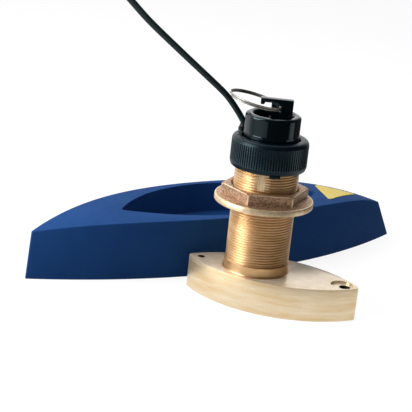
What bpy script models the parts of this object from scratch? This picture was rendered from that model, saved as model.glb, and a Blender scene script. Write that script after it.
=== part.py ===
"""Through-hull depth, speed and temperature transducer with its fairing block.

Metres, +Z up.  The stem's axis is the Z axis, the base stands on z = 0 and its long
half points along +X.  The fairing stands apart, behind the transducer.
"""

import math

import bmesh
import bpy
from mathutils import Matrix, Vector

MM = 0.001
GAP = 0.3 * MM  # between neighbours that touch on the real object

# Stem, a 2 inch through-hull thread
STEM_R = 25.4 * MM
STEM_TOP = 123.0 * MM
STEM_TOP_CHAMFER = 1.2 * MM
STEM_WALL = 3.9 * MM
BORE_R = STEM_R - STEM_WALL
COLLAR_STEP = 0.6 * MM  # the plain collar at the stem's foot stands out by this
COLLAR_R = STEM_R + COLLAR_STEP
FLAT_DEPTH = 0.85 * MM  # milled flats on the upper stem
FLAT_LONG = 26.0 * MM
FLAT_LOW = STEM_TOP - FLAT_LONG
FLAT_TURN = math.radians(-84)

# Cast base, a pointed lens seen from above
BASE_SHORT = 55.6 * MM  # stem axis to the tip of the short half
BASE_SIDE_WALL = 6.4 * MM  # beside the stem
BASE_HALF_WIDTH = STEM_R + BASE_SIDE_WALL
BASE_THICK = 26.6 * MM
BASE_TIP_HALF = 1.6 * MM  # half the width of the blunt tip
BASE_EDGE = 0.8 * MM
COLLAR_RISE = 8.4 * MM
COLLAR_TOP = BASE_THICK + COLLAR_RISE
PIN_HOLE_R = 3.0 * MM
PIN_HOLE_INSET = 9.8 * MM  # from the short tip
PIN_HOLE_X = PIN_HOLE_INSET - BASE_SHORT

# Depth element in the long half of the base
ELEMENT_R = 16.0 * MM
ELEMENT_THICK = 10.0 * MM
BACKING_WALL = 2.0 * MM
CAVITY_R = ELEMENT_R + GAP + BACKING_WALL + GAP
CAVITY_FROM_BORE = 7.4 * MM  # bronze between the bore and the cavity
ELEMENT_X = BORE_R + CAVITY_FROM_BORE + CAVITY_R
CAVITY_ROOF = 5.6 * MM  # bronze left above it
CAVITY_TOP = BASE_THICK - CAVITY_ROOF
WINDOW_THICK = 3.0 * MM
LEAD_R = 0.55 * MM
LEAD_CHANNEL_R = 0.9 * MM
LEAD_IN_WALL = 1.4 * MM  # from the bore to the channel's axis
LEAD_X = BORE_R + LEAD_IN_WALL
LEAD_UNDER_ROOF = 5.0 * MM
LEAD_Z = CAVITY_TOP - LEAD_UNDER_ROOF
LEAD_TOP_DROP = 0.4 * MM

# Bolt hole beyond the element, which ends the long half
BOLT_HOLE_R = 4.4 * MM
BOLT_HOLE_INSET = 10.8 * MM  # from the long tip
BOLT_HOLE_FROM_CAVITY = 7.3 * MM
BOLT_HOLE_X = ELEMENT_X + CAVITY_R + BOLT_HOLE_FROM_CAVITY
BASE_LONG = BOLT_HOLE_X + BOLT_HOLE_INSET  # stem axis to the long half's tip
SINK_R = 9.0 * MM
SINK_DEPTH = 3.2 * MM
SINK_SHIFT = 2.4 * MM  # the counterbore sits towards the stem by this
SINK_X = BOLT_HOLE_X - SINK_SHIFT

# Hull nut, a hexagon on a round flange
NUT_LOW = 81.7 * MM
NUT_RIM_THICK = 4.9 * MM
NUT_RIM_TOP = NUT_LOW + NUT_RIM_THICK
NUT_SLOPE = 1.4 * MM  # from the rim up to the hexagon's foot
NUT_HEX_LOW = NUT_RIM_TOP + NUT_SLOPE
NUT_HEX_HIGH = 7.6 * MM
NUT_TOP = NUT_HEX_LOW + NUT_HEX_HIGH
NUT_HEX_WALL = 9.5 * MM  # stem to the hexagon's corners
NUT_HEX_R = STEM_R + NUT_HEX_WALL
NUT_RIM_STEP = 4.3 * MM
NUT_RIM_R = NUT_HEX_R + NUT_RIM_STEP
NUT_TURN = math.radians(23.3)

# Withdrawable insert
INSERT_PLAY = 0.4 * MM
INSERT_R = BORE_R - INSERT_PLAY
INSERT_LOW = 0.4 * MM
INSERT_FLOOR_THICK = 22.6 * MM
INSERT_FLOOR = INSERT_LOW + INSERT_FLOOR_THICK  # top of its solid foot
INSERT_WALL = 3.4 * MM
INSERT_FLANGE_INSET = 0.7 * MM  # inside the stem's outline
INSERT_FLANGE_R = STEM_R - INSERT_FLANGE_INSET
INSERT_FLANGE_THICK = 4.6 * MM
FLANGE_LOW = STEM_TOP + GAP
FLANGE_TOP = FLANGE_LOW + INSERT_FLANGE_THICK
ORING_R = 1.0 * MM
ORING_SIDES = 6
ORING_LOW_Z = INSERT_FLOOR + 7.0 * MM
ORING_HIGH_Z = STEM_TOP - 15.0 * MM
GROOVE_DEPTH = 2.1 * MM

# Cap nut with a serrated rim, screwed over the stem's top
CAP_NUT_SKIRT = 12.0 * MM  # how far it reaches down the stem
CAP_NUT_LOW = STEM_TOP - CAP_NUT_SKIRT
CAP_NUT_LIP = 7.0 * MM
CAP_NUT_TOP = FLANGE_TOP + GAP + CAP_NUT_LIP
CAP_NUT_TEETH_RISE = 4.1 * MM
CAP_NUT_TEETH_LOW = CAP_NUT_LOW + CAP_NUT_TEETH_RISE
CAP_NUT_SHOULDER = 3.6 * MM
CAP_NUT_TEETH_TOP = CAP_NUT_TOP - CAP_NUT_SHOULDER
CAP_NUT_WALL = 4.6 * MM
CAP_NUT_R = STEM_R + GAP + CAP_NUT_WALL
CAP_NUT_TEETH = 90
CAP_NUT_TOOTH_DEPTH = 0.55 * MM
CAP_NUT_TAB_W = 8.6 * MM
CAP_NUT_TAB_DROP = 1.8 * MM
CAP_NUT_TAB_THICK = 2.6 * MM
CAP_NUT_TAB_TURN = math.radians(-64)
LANYARD_HOLE_R = 1.1 * MM
LANYARD_HOLE_TURN = math.radians(208)
LANYARD_HOLE_INSET = 3.9 * MM
LANYARD_HOLE_AT_R = CAP_NUT_R - LANYARD_HOLE_INSET

# Paddlewheel in the insert's foot
WHEEL_R = 9.6 * MM
WHEEL_HALF_WIDTH = 4.6 * MM
WHEEL_HUB_R = 3.6 * MM
WHEEL_VANES = 4
WHEEL_VANE_THICK = 2.0 * MM
WHEEL_ROOM = 0.8 * MM
AXLE_R = 1.5 * MM
AXLE_HALF = 11.0 * MM
RUNNING = 0.35 * MM
SLOT_HALF_X = WHEEL_R + 2 * WHEEL_ROOM
SLOT_HALF_Y = WHEEL_HALF_WIDTH + WHEEL_ROOM
PROBE_R = 1.8 * MM
PROBE_INSET = 4.9 * MM
PROBE_X = INSERT_R - PROBE_INSET
PROBE_LONG = 16.0 * MM
BOARD_HALF_X = 10.0 * MM
BOARD_HALF_Y = 0.8 * MM
BOARD_LONG = 34.0 * MM
CHIP_HALF = 2.2 * MM
CHIP_THICK = 1.6 * MM

# Octagonal cap of the insert
CAP_BAND_STEP = 0.8 * MM
CAP_BAND_R = INSERT_R + CAP_BAND_STEP  # plain round band under the flats
CAP_CORNER_STEP = 0.9 * MM
CAP_R = CAP_BAND_R + CAP_CORNER_STEP  # to the corners before they are rounded
CAP_BAND_RISE = 3.4 * MM
CAP_BAND_TOP = CAP_NUT_TOP + CAP_BAND_RISE
CAP_FLATS_HIGH = 14.8 * MM
CAP_TOP = CAP_BAND_TOP + CAP_FLATS_HIGH
CAP_EDGE = 2.2 * MM
CAP_CORNER = 4.6 * MM
CAP_TURN = math.radians(25)
CAP_RIM_WALL = 5.8 * MM
RECESS_R = CAP_BAND_R - CAP_RIM_WALL
RECESS_TAPER = 1.2 * MM
RECESS_FLOOR_R = RECESS_R - RECESS_TAPER
RECESS_DEPTH = 8.4 * MM
RECESS_FLOOR = CAP_TOP - RECESS_DEPTH
SPIGOT_PLAY = 0.4 * MM
SPIGOT_R = INSERT_R - INSERT_WALL - SPIGOT_PLAY
SPIGOT_LONG = 5.0 * MM
SPIGOT_LOW = STEM_TOP - SPIGOT_LONG
CAP_NUT_MOUTH_PLAY = 1.4 * MM
CAP_NUT_MOUTH_R = CAP_BAND_R + CAP_NUT_MOUTH_PLAY

# Pull handle, a bar on two posts with a hook at one end
HANDLE_TURN = math.radians(16)
HANDLE_HALF_Y = 3.4 * MM
HANDLE_RISE = 12.0 * MM
HANDLE_TOP = CAP_TOP + HANDLE_RISE
HANDLE_BAR_THICK = 3.1 * MM
HANDLE_BAR_LOW = HANDLE_TOP - HANDLE_BAR_THICK
HANDLE_LEFT = -11.2 * MM
HANDLE_RIGHT = math.sqrt(RECESS_FLOOR_R**2 - HANDLE_HALF_Y**2) - GAP
HOOK_THICK = 2.8 * MM
HOOK_IN = HANDLE_LEFT + HOOK_THICK
HOOK_DROP = 1.9 * MM
HOOK_LOW = HANDLE_BAR_LOW - HOOK_DROP
WINDOW_WIDE = 4.3 * MM
POST_WIDE = 5.5 * MM
POST_RIGHT_WIDE = 7.0 * MM
WINDOW_RIGHT = HANDLE_RIGHT - POST_RIGHT_WIDE
POST_RIGHT = WINDOW_RIGHT - WINDOW_WIDE
POST_LEFT = POST_RIGHT - POST_WIDE
WINDOW_DEEP = 1.4 * MM  # below the cap's rim
WINDOW_FLOOR = CAP_TOP - WINDOW_DEEP
FOOT_SPREAD = 3.4 * MM
HANDLE_FOOT_LEFT = POST_LEFT - FOOT_SPREAD
HANDLE_EDGE = 0.7 * MM

# Split pull ring, two turns of flat-sided wire
RING_R = 20.5 * MM  # centre of its wire
RING_WIRE_W = 1.5 * MM
RING_WIRE_H = 2.8 * MM
RING_TILT = math.radians(11.8)
RING_PIVOT_X = (POST_RIGHT + WINDOW_RIGHT) / 2
RING_UNDER_ROOF = 2.0 * MM  # from the window's roof to its pivot
RING_PIVOT_Z = HOOK_LOW - RING_UNDER_ROOF
RING_SIDES = 42

# Cable, along points measured from where it leaves its gland
CABLE_D = 5.0 * MM
CABLE_BOSS_R = 3.7 * MM  # on the cap's flank
CABLE_BOSS_OUT = 1.8 * MM
CABLE_BOSS_HIGH = 2.6 * MM
CABLE_BOSS_LOW = CAP_BAND_TOP - CABLE_BOSS_HIGH
CABLE_BOSS_TOP = CAP_BAND_TOP
CABLE_SEAT_RISE = 7.0 * MM  # a scallop in the flank clears the gland and the cable
CABLE_EXIT_X = -CAP_BAND_R - CABLE_BOSS_OUT
CABLE_EXIT_Y = 1.7 * MM
GLAND_R = 3.5 * MM
GLAND_TIP_R = 2.8 * MM
GLAND_LONG = 2.4 * MM
CABLE_RISE = 1.2 * MM  # straight out of the gland
CABLE_ROUTE = (
    (-1.0, -0.3, 2.9),
    (-5.1, -1.4, 8.9),
    (-11.6, -6.3, 18.8),
    (-17.2, -12.0, 26.1),
    (-25.4, -22.0, 36.0),
    (-42.5, -43.5, 56.7),
    (-59.5, -69.2, 79.6),
    (-69.2, -87.6, 96.2),
    (-73.4, -96.1, 103.5),
)
CABLE_STATIONS = 30

# Plug on the cable's end
PLUG_R = 8.4 * MM
PLUG_LONG = 38.0 * MM
PLUG_NECK_R = 4.6 * MM
PLUG_NUT_R = PLUG_R + 1.6 * MM
PLUG_NUT_SHARE = 0.395  # of the plug's length
PLUG_NUT_LONG = PLUG_NUT_SHARE * PLUG_LONG
PLUG_NUT_PAST = 6.0 * MM
PLUG_NUT_RIBS = 18
PLUG_FACE_R = PLUG_R - 1.8 * MM
PLUG_FACE_THICK = 1.0 * MM
PLUG_PINS = 5
PLUG_PIN_R = 0.7 * MM
PLUG_PIN_LONG = 5.0 * MM
PLUG_PIN_CIRCLE = 0.59 * PLUG_FACE_R

# Fairing block
FAIRING_HALF_LONG = 190.9 * MM  # at the foot
FAIRING_FOOT_HALF = 41.5 * MM  # half its width at the foot
FAIRING_FLARE = 7.5 * MM  # each side leans out by this up to the top
FAIRING_TOP_HALF = FAIRING_FOOT_HALF + FAIRING_FLARE
FAIRING_TOP = 52.4 * MM
FAIRING_STERN_FALL = 12.6 * MM
FAIRING_STERN_TOP = FAIRING_TOP - FAIRING_STERN_FALL
FAIRING_BOW_FALL = 18.4 * MM
FAIRING_BOW_TOP = FAIRING_TOP - FAIRING_BOW_FALL
FAIRING_STERN_RAKE = 3.2 * MM
FAIRING_BOW_RAKE = 17.6 * MM
FAIRING_TIP_HALF = 0.8 * MM
FAIRING_EDGE = 0.8 * MM
FAIRING_X = -51.64 * MM
FAIRING_Y = 87.57 * MM
FAIRING_TURN = math.radians(50.68)
FAIRING_STATIONS = 34
POCKET_SHIFT = -6.0 * MM  # along the block, from its middle
POCKET_HALF_LONG = 100.0 * MM
POCKET_WALL = 6.4 * MM  # beside the pocket, at the top
POCKET_HALF_WIDTH = FAIRING_TOP_HALF - POCKET_WALL
POCKET_DEPTH = 26.2 * MM
STEM_HOLE_PLAY = 1.2 * MM
STEM_HOLE_R = STEM_R + STEM_HOLE_PLAY
FAIRING_BOW = FAIRING_HALF_LONG - FAIRING_BOW_RAKE  # the top's end
POCKET_BOW = POCKET_SHIFT + POCKET_HALF_LONG
ARROW_CORNERS = (  # shares of the way from the pocket to the bow and of the top's half width
    (0.00, -0.48),
    (0.63, 0.08),
    (0.22, 0.45),
)
ARROW_CORNER = 3.2 * MM
ARROW_THICK = 0.6 * MM
ARROW_BANDS = 5  # across it, so that it follows the top's fall

ROUND_SIDES = 64
SMALL_SIDES = 24
HIDDEN_SIDES = 32  # of a round piece inside the housing


def clear_scene():
    """Remove every object that the file opened with."""
    for old in list(bpy.data.objects):
        bpy.data.objects.remove(old, do_unlink=True)


def material(name, colour, roughness, metallic=0.0):
    """Make one plain surface for a sub-part."""
    made = bpy.data.materials.new(name)
    made.use_nodes = True
    shader = made.node_tree.nodes["Principled BSDF"]
    shader.inputs["Base Color"].default_value = (*colour, 1.0)
    shader.inputs["Roughness"].default_value = roughness
    shader.inputs["Metallic"].default_value = metallic
    return made


def add_object(name, work, finish=None, sharp=30.0):
    """Turn a bmesh into an object, closed and with its faces pointing out."""
    bmesh.ops.remove_doubles(work, verts=work.verts, dist=1e-7)
    bmesh.ops.recalc_face_normals(work, faces=work.faces)
    mesh = bpy.data.meshes.new(name)
    work.to_mesh(mesh)
    work.free()
    mesh.shade_smooth()
    mesh.set_sharp_from_angle(angle=math.radians(sharp))
    made = bpy.data.objects.new(name, mesh)
    bpy.context.collection.objects.link(made)
    if finish:
        mesh.materials.append(finish)
    return made


def lathe(profile, sides=ROUND_SIDES):
    """Turn a closed outline of (radius, height) points about Z."""
    work = bmesh.new()
    outline = [work.verts.new((radius, 0.0, height)) for radius, height in profile]
    edges = [work.edges.new((a, b)) for a, b in zip(outline, outline[1:])]
    on_axis = profile[0][0] == 0.0 and profile[-1][0] == 0.0
    if not on_axis:
        edges.append(work.edges.new((outline[-1], outline[0])))
    bmesh.ops.spin(
        work,
        geom=outline + edges,
        cent=(0, 0, 0),
        axis=(0, 0, 1),
        angle=math.tau,
        steps=sides,
        use_merge=True,
        use_duplicate=False,
    )
    bmesh.ops.remove_doubles(work, verts=work.verts, dist=1e-6)
    return work


def prism(outline, low, high):
    """Raise a flat outline of (x, y) points from one height to another."""
    work = bmesh.new()
    face = work.faces.new([work.verts.new((x, y, low)) for x, y in outline])
    raised = bmesh.ops.extrude_face_region(work, geom=[face])
    moved = [v for v in raised["geom"] if isinstance(v, bmesh.types.BMVert)]
    bmesh.ops.translate(work, verts=moved, vec=(0, 0, high - low))
    return work


def block(low, high):
    """A box between two corners."""
    return prism(
        [(low[0], low[1]), (high[0], low[1]), (high[0], high[1]), (low[0], high[1])],
        low[2],
        high[2],
    )


def disc(radius, low, high, x=0.0, y=0.0, sides=SMALL_SIDES):
    """A plain upright cylinder."""
    work = bmesh.new()
    bmesh.ops.create_cone(
        work,
        cap_ends=True,
        segments=sides,
        radius1=radius,
        radius2=radius,
        depth=high - low,
        matrix=Matrix.Translation((x, y, (low + high) / 2)),
    )
    return work


def turned(work, angle):
    """Turn a bmesh about the Z axis."""
    bmesh.ops.rotate(work, verts=work.verts, matrix=Matrix.Rotation(angle, 3, "Z"))
    return work


def combine(target, work, operation="DIFFERENCE"):
    """Cut a hidden tool out of an object, or join it on."""
    tool = add_object(f"{target.name}_tool_{len(target.modifiers)}", work)
    tool.hide_render = True
    tool.display_type = "WIRE"
    change = target.modifiers.new(tool.name, "BOOLEAN")
    change.operation = operation
    change.object = tool
    return tool


def round_edges(target, width, segments=2, angle=30.0):
    """Round an object's sharp edges."""
    bevel = target.modifiers.new("rounded", "BEVEL")
    bevel.width = width
    bevel.segments = segments
    bevel.limit_method = "ANGLE"
    bevel.angle_limit = math.radians(angle)
    return bevel


def lens(short, long, half_width, tip_half, points=20):
    """A pointed plan outline of two arcs, from the short tip round to the long one."""
    half = (short + long) / 2
    middle = (long - short) / 2
    rise = half_width - tip_half
    radius = (half * half + rise * rise) / (2 * rise)
    reach = math.asin(half / radius)
    side = []
    for step in range(points + 1):
        angle = -reach + 2 * reach * step / points
        across = radius * math.cos(angle) - radius + half_width
        side.append((middle + radius * math.sin(angle), across))
    return [(x, -y) for x, y in side] + list(reversed(side))


# Bronze housing


def make_housing():
    """Cast base and stem in one piece, bored for the insert and the depth element."""
    bronze = material("cast_bronze", (0.62, 0.42, 0.22), 0.32, 1.0)
    outline = lens(BASE_SHORT, BASE_LONG, BASE_HALF_WIDTH, BASE_TIP_HALF)
    housing = add_object("housing", prism(outline, 0.0, BASE_THICK), bronze)
    round_edges(housing, BASE_EDGE)
    foot = BASE_THICK / 2
    stem = lathe(
        [
            (0.0, foot),
            (COLLAR_R, foot),
            (COLLAR_R, COLLAR_TOP),
            (STEM_R, COLLAR_TOP + COLLAR_R - STEM_R),
            (STEM_R, STEM_TOP - STEM_TOP_CHAMFER),
            (STEM_R - STEM_TOP_CHAMFER, STEM_TOP),
            (0.0, STEM_TOP),
        ]
    )
    combine(housing, stem, "UNION")
    bore_over = 5 * MM
    combine(housing, disc(BORE_R, -bore_over, STEM_TOP + bore_over, sides=ROUND_SIDES))
    combine(housing, disc(CAVITY_R, -bore_over, CAVITY_TOP, x=ELEMENT_X, sides=48))
    combine(housing, disc(PIN_HOLE_R, -bore_over, BASE_THICK + bore_over, x=PIN_HOLE_X))
    combine(housing, disc(SINK_R, BASE_THICK - SINK_DEPTH, BASE_THICK + bore_over, x=SINK_X, sides=36))
    combine(housing, disc(BOLT_HOLE_R, -bore_over, BASE_THICK + bore_over, x=BOLT_HOLE_X))
    for turn in (FLAT_TURN, FLAT_TURN + math.pi):
        flat = block(
            (STEM_R - FLAT_DEPTH, -STEM_R, FLAT_LOW),
            (STEM_R + bore_over, STEM_R, STEM_TOP + bore_over),
        )
        combine(housing, turned(flat, turn))
    channel = disc(LEAD_CHANNEL_R, LEAD_Z - LEAD_CHANNEL_R, STEM_TOP + bore_over, x=LEAD_X, sides=12)
    combine(housing, channel)
    crossing = disc(LEAD_CHANNEL_R, -LEAD_CHANNEL_R, ELEMENT_X - CAVITY_R / 2 - LEAD_X, sides=12)
    bmesh.ops.rotate(crossing, verts=crossing.verts, matrix=Matrix.Rotation(math.pi / 2, 3, "Y"))
    bmesh.ops.translate(crossing, verts=crossing.verts, vec=(LEAD_X, 0, LEAD_Z))
    combine(housing, crossing)
    return housing


def make_depth_element():
    """The ceramic disc, its backing cup, the potted window below it and its lead."""
    window_finish = material("potting_resin", (0.02, 0.02, 0.022), 0.35)
    ceramic = material("piezo_ceramic", (0.62, 0.58, 0.5), 0.6)
    cork = material("cork_backing", (0.35, 0.22, 0.12), 0.9)
    copper = material("lead_jacket", (0.5, 0.06, 0.05), 0.5)

    window = disc(CAVITY_R - GAP, 0.0, WINDOW_THICK, x=ELEMENT_X, sides=48)
    add_object("acoustic_window", window, window_finish)

    element_low = WINDOW_THICK + GAP
    element_top = element_low + ELEMENT_THICK
    add_object(
        "piezo_element",
        disc(ELEMENT_R, element_low, element_top, x=ELEMENT_X, sides=40),
        ceramic,
    )
    cup_inside = ELEMENT_R + GAP
    cup_outside = cup_inside + BACKING_WALL
    cup = lathe(
        [
            (0.0, element_top + GAP),
            (cup_inside, element_top + GAP),
            (cup_inside, element_low),
            (cup_outside, element_low),
            (cup_outside, CAVITY_TOP - GAP),
            (0.0, CAVITY_TOP - GAP),
        ],
        HIDDEN_SIDES,
    )
    bmesh.ops.translate(cup, verts=cup.verts, vec=(ELEMENT_X, 0, 0))
    add_object("element_backing", cup, cork)

    start = ELEMENT_X - cup_outside - GAP
    tube("element_lead", [(start, 0, LEAD_Z), (LEAD_X, 0, LEAD_Z), (LEAD_X, 0, STEM_TOP - LEAD_TOP_DROP)], LEAD_R, copper, 1)


def tube(name, points, radius, finish, resolution=2):
    """A closed round tube along straight stretches between points."""
    line = bpy.data.curves.new(name, "CURVE")
    line.dimensions = "3D"
    spline = line.splines.new("POLY")
    spline.points.add(len(points) - 1)
    for place, point in zip(spline.points, points):
        place.co = (*point, 1.0)
    line.bevel_depth = radius
    line.bevel_resolution = resolution
    line.use_fill_caps = True
    line.materials.append(finish)
    made = bpy.data.objects.new(name, line)
    bpy.context.collection.objects.link(made)
    return made


# Nuts


def make_hull_nut():
    """Sand-cast hexagon nut with a round flange, screwed down to the hull."""
    bronze = material("sand_cast_bronze", (0.32, 0.22, 0.14), 0.55, 1.0)
    bore = STEM_R + GAP
    slope_in = NUT_HEX_R * math.cos(math.pi / 6)
    flange = lathe(
        [
            (bore, NUT_LOW),
            (NUT_RIM_R - 0.6 * MM, NUT_LOW),
            (NUT_RIM_R, NUT_LOW + 0.6 * MM),
            (NUT_RIM_R, NUT_RIM_TOP - 0.5 * MM),
            (NUT_RIM_R - 0.5 * MM, NUT_RIM_TOP),
            (slope_in, NUT_HEX_LOW),
            (bore, NUT_HEX_LOW),
        ]
    )
    nut = add_object("hull_nut", flange, bronze)
    corners = [
        (NUT_HEX_R * math.cos(NUT_TURN + i * math.pi / 3), NUT_HEX_R * math.sin(NUT_TURN + i * math.pi / 3))
        for i in range(6)
    ]
    combine(nut, prism(corners, (NUT_LOW + NUT_RIM_TOP) / 2, NUT_TOP), "UNION")
    shave = lathe(
        [
            (NUT_HEX_R - 1.6 * MM, NUT_TOP + 1 * MM),
            (NUT_HEX_R - 1.6 * MM, NUT_TOP),
            (NUT_HEX_R + 3 * MM, NUT_TOP - 1.7 * MM),
            (NUT_HEX_R + 3 * MM, NUT_TOP + 1 * MM),
        ]
    )
    combine(nut, shave)
    countersink = 1.6 * MM
    hole = lathe(
        [
            (0.0, NUT_LOW - 2 * MM),
            (bore, NUT_LOW - 2 * MM),
            (bore, NUT_TOP - countersink),
            (bore + countersink + 1 * MM, NUT_TOP + 1 * MM),
            (0.0, NUT_TOP + 1 * MM),
        ]
    )
    combine(nut, hole)
    return nut


def make_cap_nut():
    """Moulded ring with a serrated rim that screws over the stem and holds the insert."""
    plastic = material("moulded_black", (0.012, 0.016, 0.02), 0.45)
    thread_r = STEM_R + GAP
    lip_low = FLANGE_TOP + GAP
    band_r = CAP_NUT_R - CAP_NUT_TOOTH_DEPTH
    body = lathe(
        [
            (0.0, CAP_NUT_LOW),
            (CAP_NUT_R - 1.8 * MM, CAP_NUT_LOW),
            (CAP_NUT_R - 0.7 * MM, CAP_NUT_LOW + 1.5 * MM),
            (band_r - 0.1 * MM, CAP_NUT_TEETH_LOW),
            (band_r - 1.0 * MM, CAP_NUT_TEETH_LOW + 1.0 * MM),
            (band_r - 1.0 * MM, CAP_NUT_TEETH_TOP - 1.0 * MM),
            (CAP_NUT_R - 0.25 * MM, CAP_NUT_TEETH_TOP - 0.3 * MM),
            (CAP_NUT_R - 0.6 * MM, CAP_NUT_TOP - 1.8 * MM),
            (CAP_NUT_R - 1.4 * MM, CAP_NUT_TOP - 0.5 * MM),
            (CAP_NUT_R - 2.6 * MM, CAP_NUT_TOP),
            (0.0, CAP_NUT_TOP),
        ]
    )
    nut = add_object("cap_nut", body, plastic, sharp=20.0)
    toothed = []
    for column in range(2 * CAP_NUT_TEETH):
        angle = math.tau * column / (2 * CAP_NUT_TEETH)
        r = band_r if column % 2 else CAP_NUT_R
        toothed.append((r * math.cos(angle), r * math.sin(angle)))
    combine(nut, prism(toothed, CAP_NUT_TEETH_LOW + 0.2 * MM, CAP_NUT_TEETH_TOP), "UNION")
    inside = lathe(
        [
            (0.0, CAP_NUT_LOW - 5 * MM),
            (thread_r, CAP_NUT_LOW - 5 * MM),
            (thread_r, lip_low),
            (CAP_NUT_MOUTH_R, lip_low),
            (CAP_NUT_MOUTH_R, CAP_NUT_TOP - 0.4 * MM),
            (CAP_NUT_MOUTH_R + 0.6 * MM, CAP_NUT_TOP + 0.2 * MM),
            (CAP_NUT_MOUTH_R + 0.6 * MM, CAP_NUT_TOP + 5 * MM),
            (0.0, CAP_NUT_TOP + 5 * MM),
        ]
    )
    combine(nut, inside)
    tab = block(
        (CAP_NUT_R - 0.6 * MM - CAP_NUT_TAB_THICK, -CAP_NUT_TAB_W / 2, CAP_NUT_LOW - CAP_NUT_TAB_DROP),
        (CAP_NUT_R - 0.6 * MM, CAP_NUT_TAB_W / 2, CAP_NUT_LOW + 1.4 * MM),
    )
    combine(nut, turned(tab, CAP_NUT_TAB_TURN), "UNION")
    lanyard_hole = disc(LANYARD_HOLE_R, lip_low + 1.5 * MM, CAP_NUT_TOP + 2 * MM, x=LANYARD_HOLE_AT_R, sides=12)
    combine(nut, turned(lanyard_hole, LANYARD_HOLE_TURN))
    return nut


# Insert


def make_insert():
    """The withdrawable tube that carries the paddlewheel, with its two seals."""
    plastic = material("insert_black", (0.01, 0.011, 0.013), 0.3)
    rubber = material("seal_rubber", (0.015, 0.015, 0.015), 0.7)
    inside = INSERT_R - INSERT_WALL
    groove_r = INSERT_R - GROOVE_DEPTH
    groove_half = ORING_R + GAP
    profile = [(0.0, INSERT_LOW), (INSERT_R - 0.8 * MM, INSERT_LOW), (INSERT_R, INSERT_LOW + 0.8 * MM)]
    for height in (ORING_LOW_Z, ORING_HIGH_Z):
        profile += [
            (INSERT_R, height - groove_half),
            (groove_r, height - groove_half),
            (groove_r, height + groove_half),
            (INSERT_R, height + groove_half),
        ]
    profile += [
        (INSERT_R, FLANGE_LOW),
        (INSERT_FLANGE_R, FLANGE_LOW),
        (INSERT_FLANGE_R, FLANGE_TOP),
        (inside, FLANGE_TOP),
        (inside, INSERT_FLOOR),
        (0.0, INSERT_FLOOR),
    ]
    body = add_object("insert_body", lathe(profile, HIDDEN_SIDES), plastic)
    axle_z = INSERT_LOW + GAP + WHEEL_R
    slot_top = axle_z + WHEEL_R + WHEEL_ROOM
    slot = block((-SLOT_HALF_X, -SLOT_HALF_Y, -5 * MM), (SLOT_HALF_X, SLOT_HALF_Y, slot_top))
    combine(body, slot)
    axle_seat = disc(AXLE_R + GAP, -AXLE_HALF - GAP, AXLE_HALF + GAP, sides=16)
    bmesh.ops.rotate(axle_seat, verts=axle_seat.verts, matrix=Matrix.Rotation(math.pi / 2, 3, "X"))
    bmesh.ops.translate(axle_seat, verts=axle_seat.verts, vec=(0, 0, axle_z))
    combine(body, axle_seat)
    combine(body, disc(PROBE_R + GAP, -5 * MM, INSERT_LOW + PROBE_LONG + GAP, x=PROBE_X, sides=16))

    for name, height in (("lower_oring", ORING_LOW_Z), ("upper_oring", ORING_HIGH_Z)):
        seal_r = groove_r + GAP + ORING_R
        section = [
            (
                seal_r + ORING_R * math.cos(math.tau * k / ORING_SIDES),
                height + ORING_R * math.sin(math.tau * k / ORING_SIDES),
            )
            for k in range(ORING_SIDES)
        ]
        add_object(name, lathe(section, HIDDEN_SIDES), rubber.copy())
    make_paddlewheel(axle_z)
    make_sensors()


def make_paddlewheel(axle_z):
    """Four-vaned wheel on a steel pin across the insert's slot."""
    wheel_finish = material("paddle_plastic", (0.02, 0.02, 0.022), 0.4)
    steel = material("axle_steel", (0.6, 0.6, 0.6), 0.25, 1.0)
    hole = AXLE_R + RUNNING
    steps = 8
    outline = []
    for vane in range(WHEEL_VANES):
        start = math.tau * vane / WHEEL_VANES
        half = math.asin(WHEEL_VANE_THICK / 2 / WHEEL_HUB_R)
        tip_half = math.asin(WHEEL_VANE_THICK / 2 / WHEEL_R)
        outline.append((WHEEL_R * math.cos(start - tip_half), WHEEL_R * math.sin(start - tip_half)))
        outline.append((WHEEL_R * math.cos(start + tip_half), WHEEL_R * math.sin(start + tip_half)))
        for step in range(steps):
            sweep = math.tau / WHEEL_VANES - 2 * half
            angle = start + half + sweep * step / (steps - 1)
            outline.append((WHEEL_HUB_R * math.cos(angle), WHEEL_HUB_R * math.sin(angle)))
    work = prism(outline, -WHEEL_HALF_WIDTH, WHEEL_HALF_WIDTH)
    wheel = add_object("paddlewheel", work, wheel_finish)
    combine(wheel, disc(hole, -2 * WHEEL_HALF_WIDTH, 2 * WHEEL_HALF_WIDTH, sides=20)).parent = wheel
    wheel.rotation_euler = (math.pi / 2, math.radians(45), 0)
    wheel.location = (0, 0, axle_z)
    axle = add_object("paddle_axle", disc(AXLE_R, -AXLE_HALF, AXLE_HALF, sides=16), steel)
    axle.rotation_euler = (math.pi / 2, 0, 0)
    axle.location = (0, 0, axle_z)


def make_sensors():
    """Temperature probe in the foot, and the board that senses the turning wheel."""
    brass = material("probe_brass", (0.7, 0.52, 0.25), 0.3, 1.0)
    board_finish = material("circuit_board", (0.02, 0.16, 0.07), 0.5)
    probe = disc(PROBE_R, INSERT_LOW, INSERT_LOW + PROBE_LONG, x=PROBE_X, sides=16)
    add_object("temperature_probe", probe, brass)
    low = INSERT_FLOOR + GAP
    board = add_object(
        "sensor_board",
        block((-BOARD_HALF_X, -BOARD_HALF_Y, low), (BOARD_HALF_X, BOARD_HALF_Y, low + BOARD_LONG)),
        board_finish,
    )
    chip = block(
        (-CHIP_HALF, BOARD_HALF_Y - 0.2 * MM, low + 1 * MM),
        (CHIP_HALF, BOARD_HALF_Y + CHIP_THICK, low + 1 * MM + 2 * CHIP_HALF),
    )
    combine(board, chip, "UNION")


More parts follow.
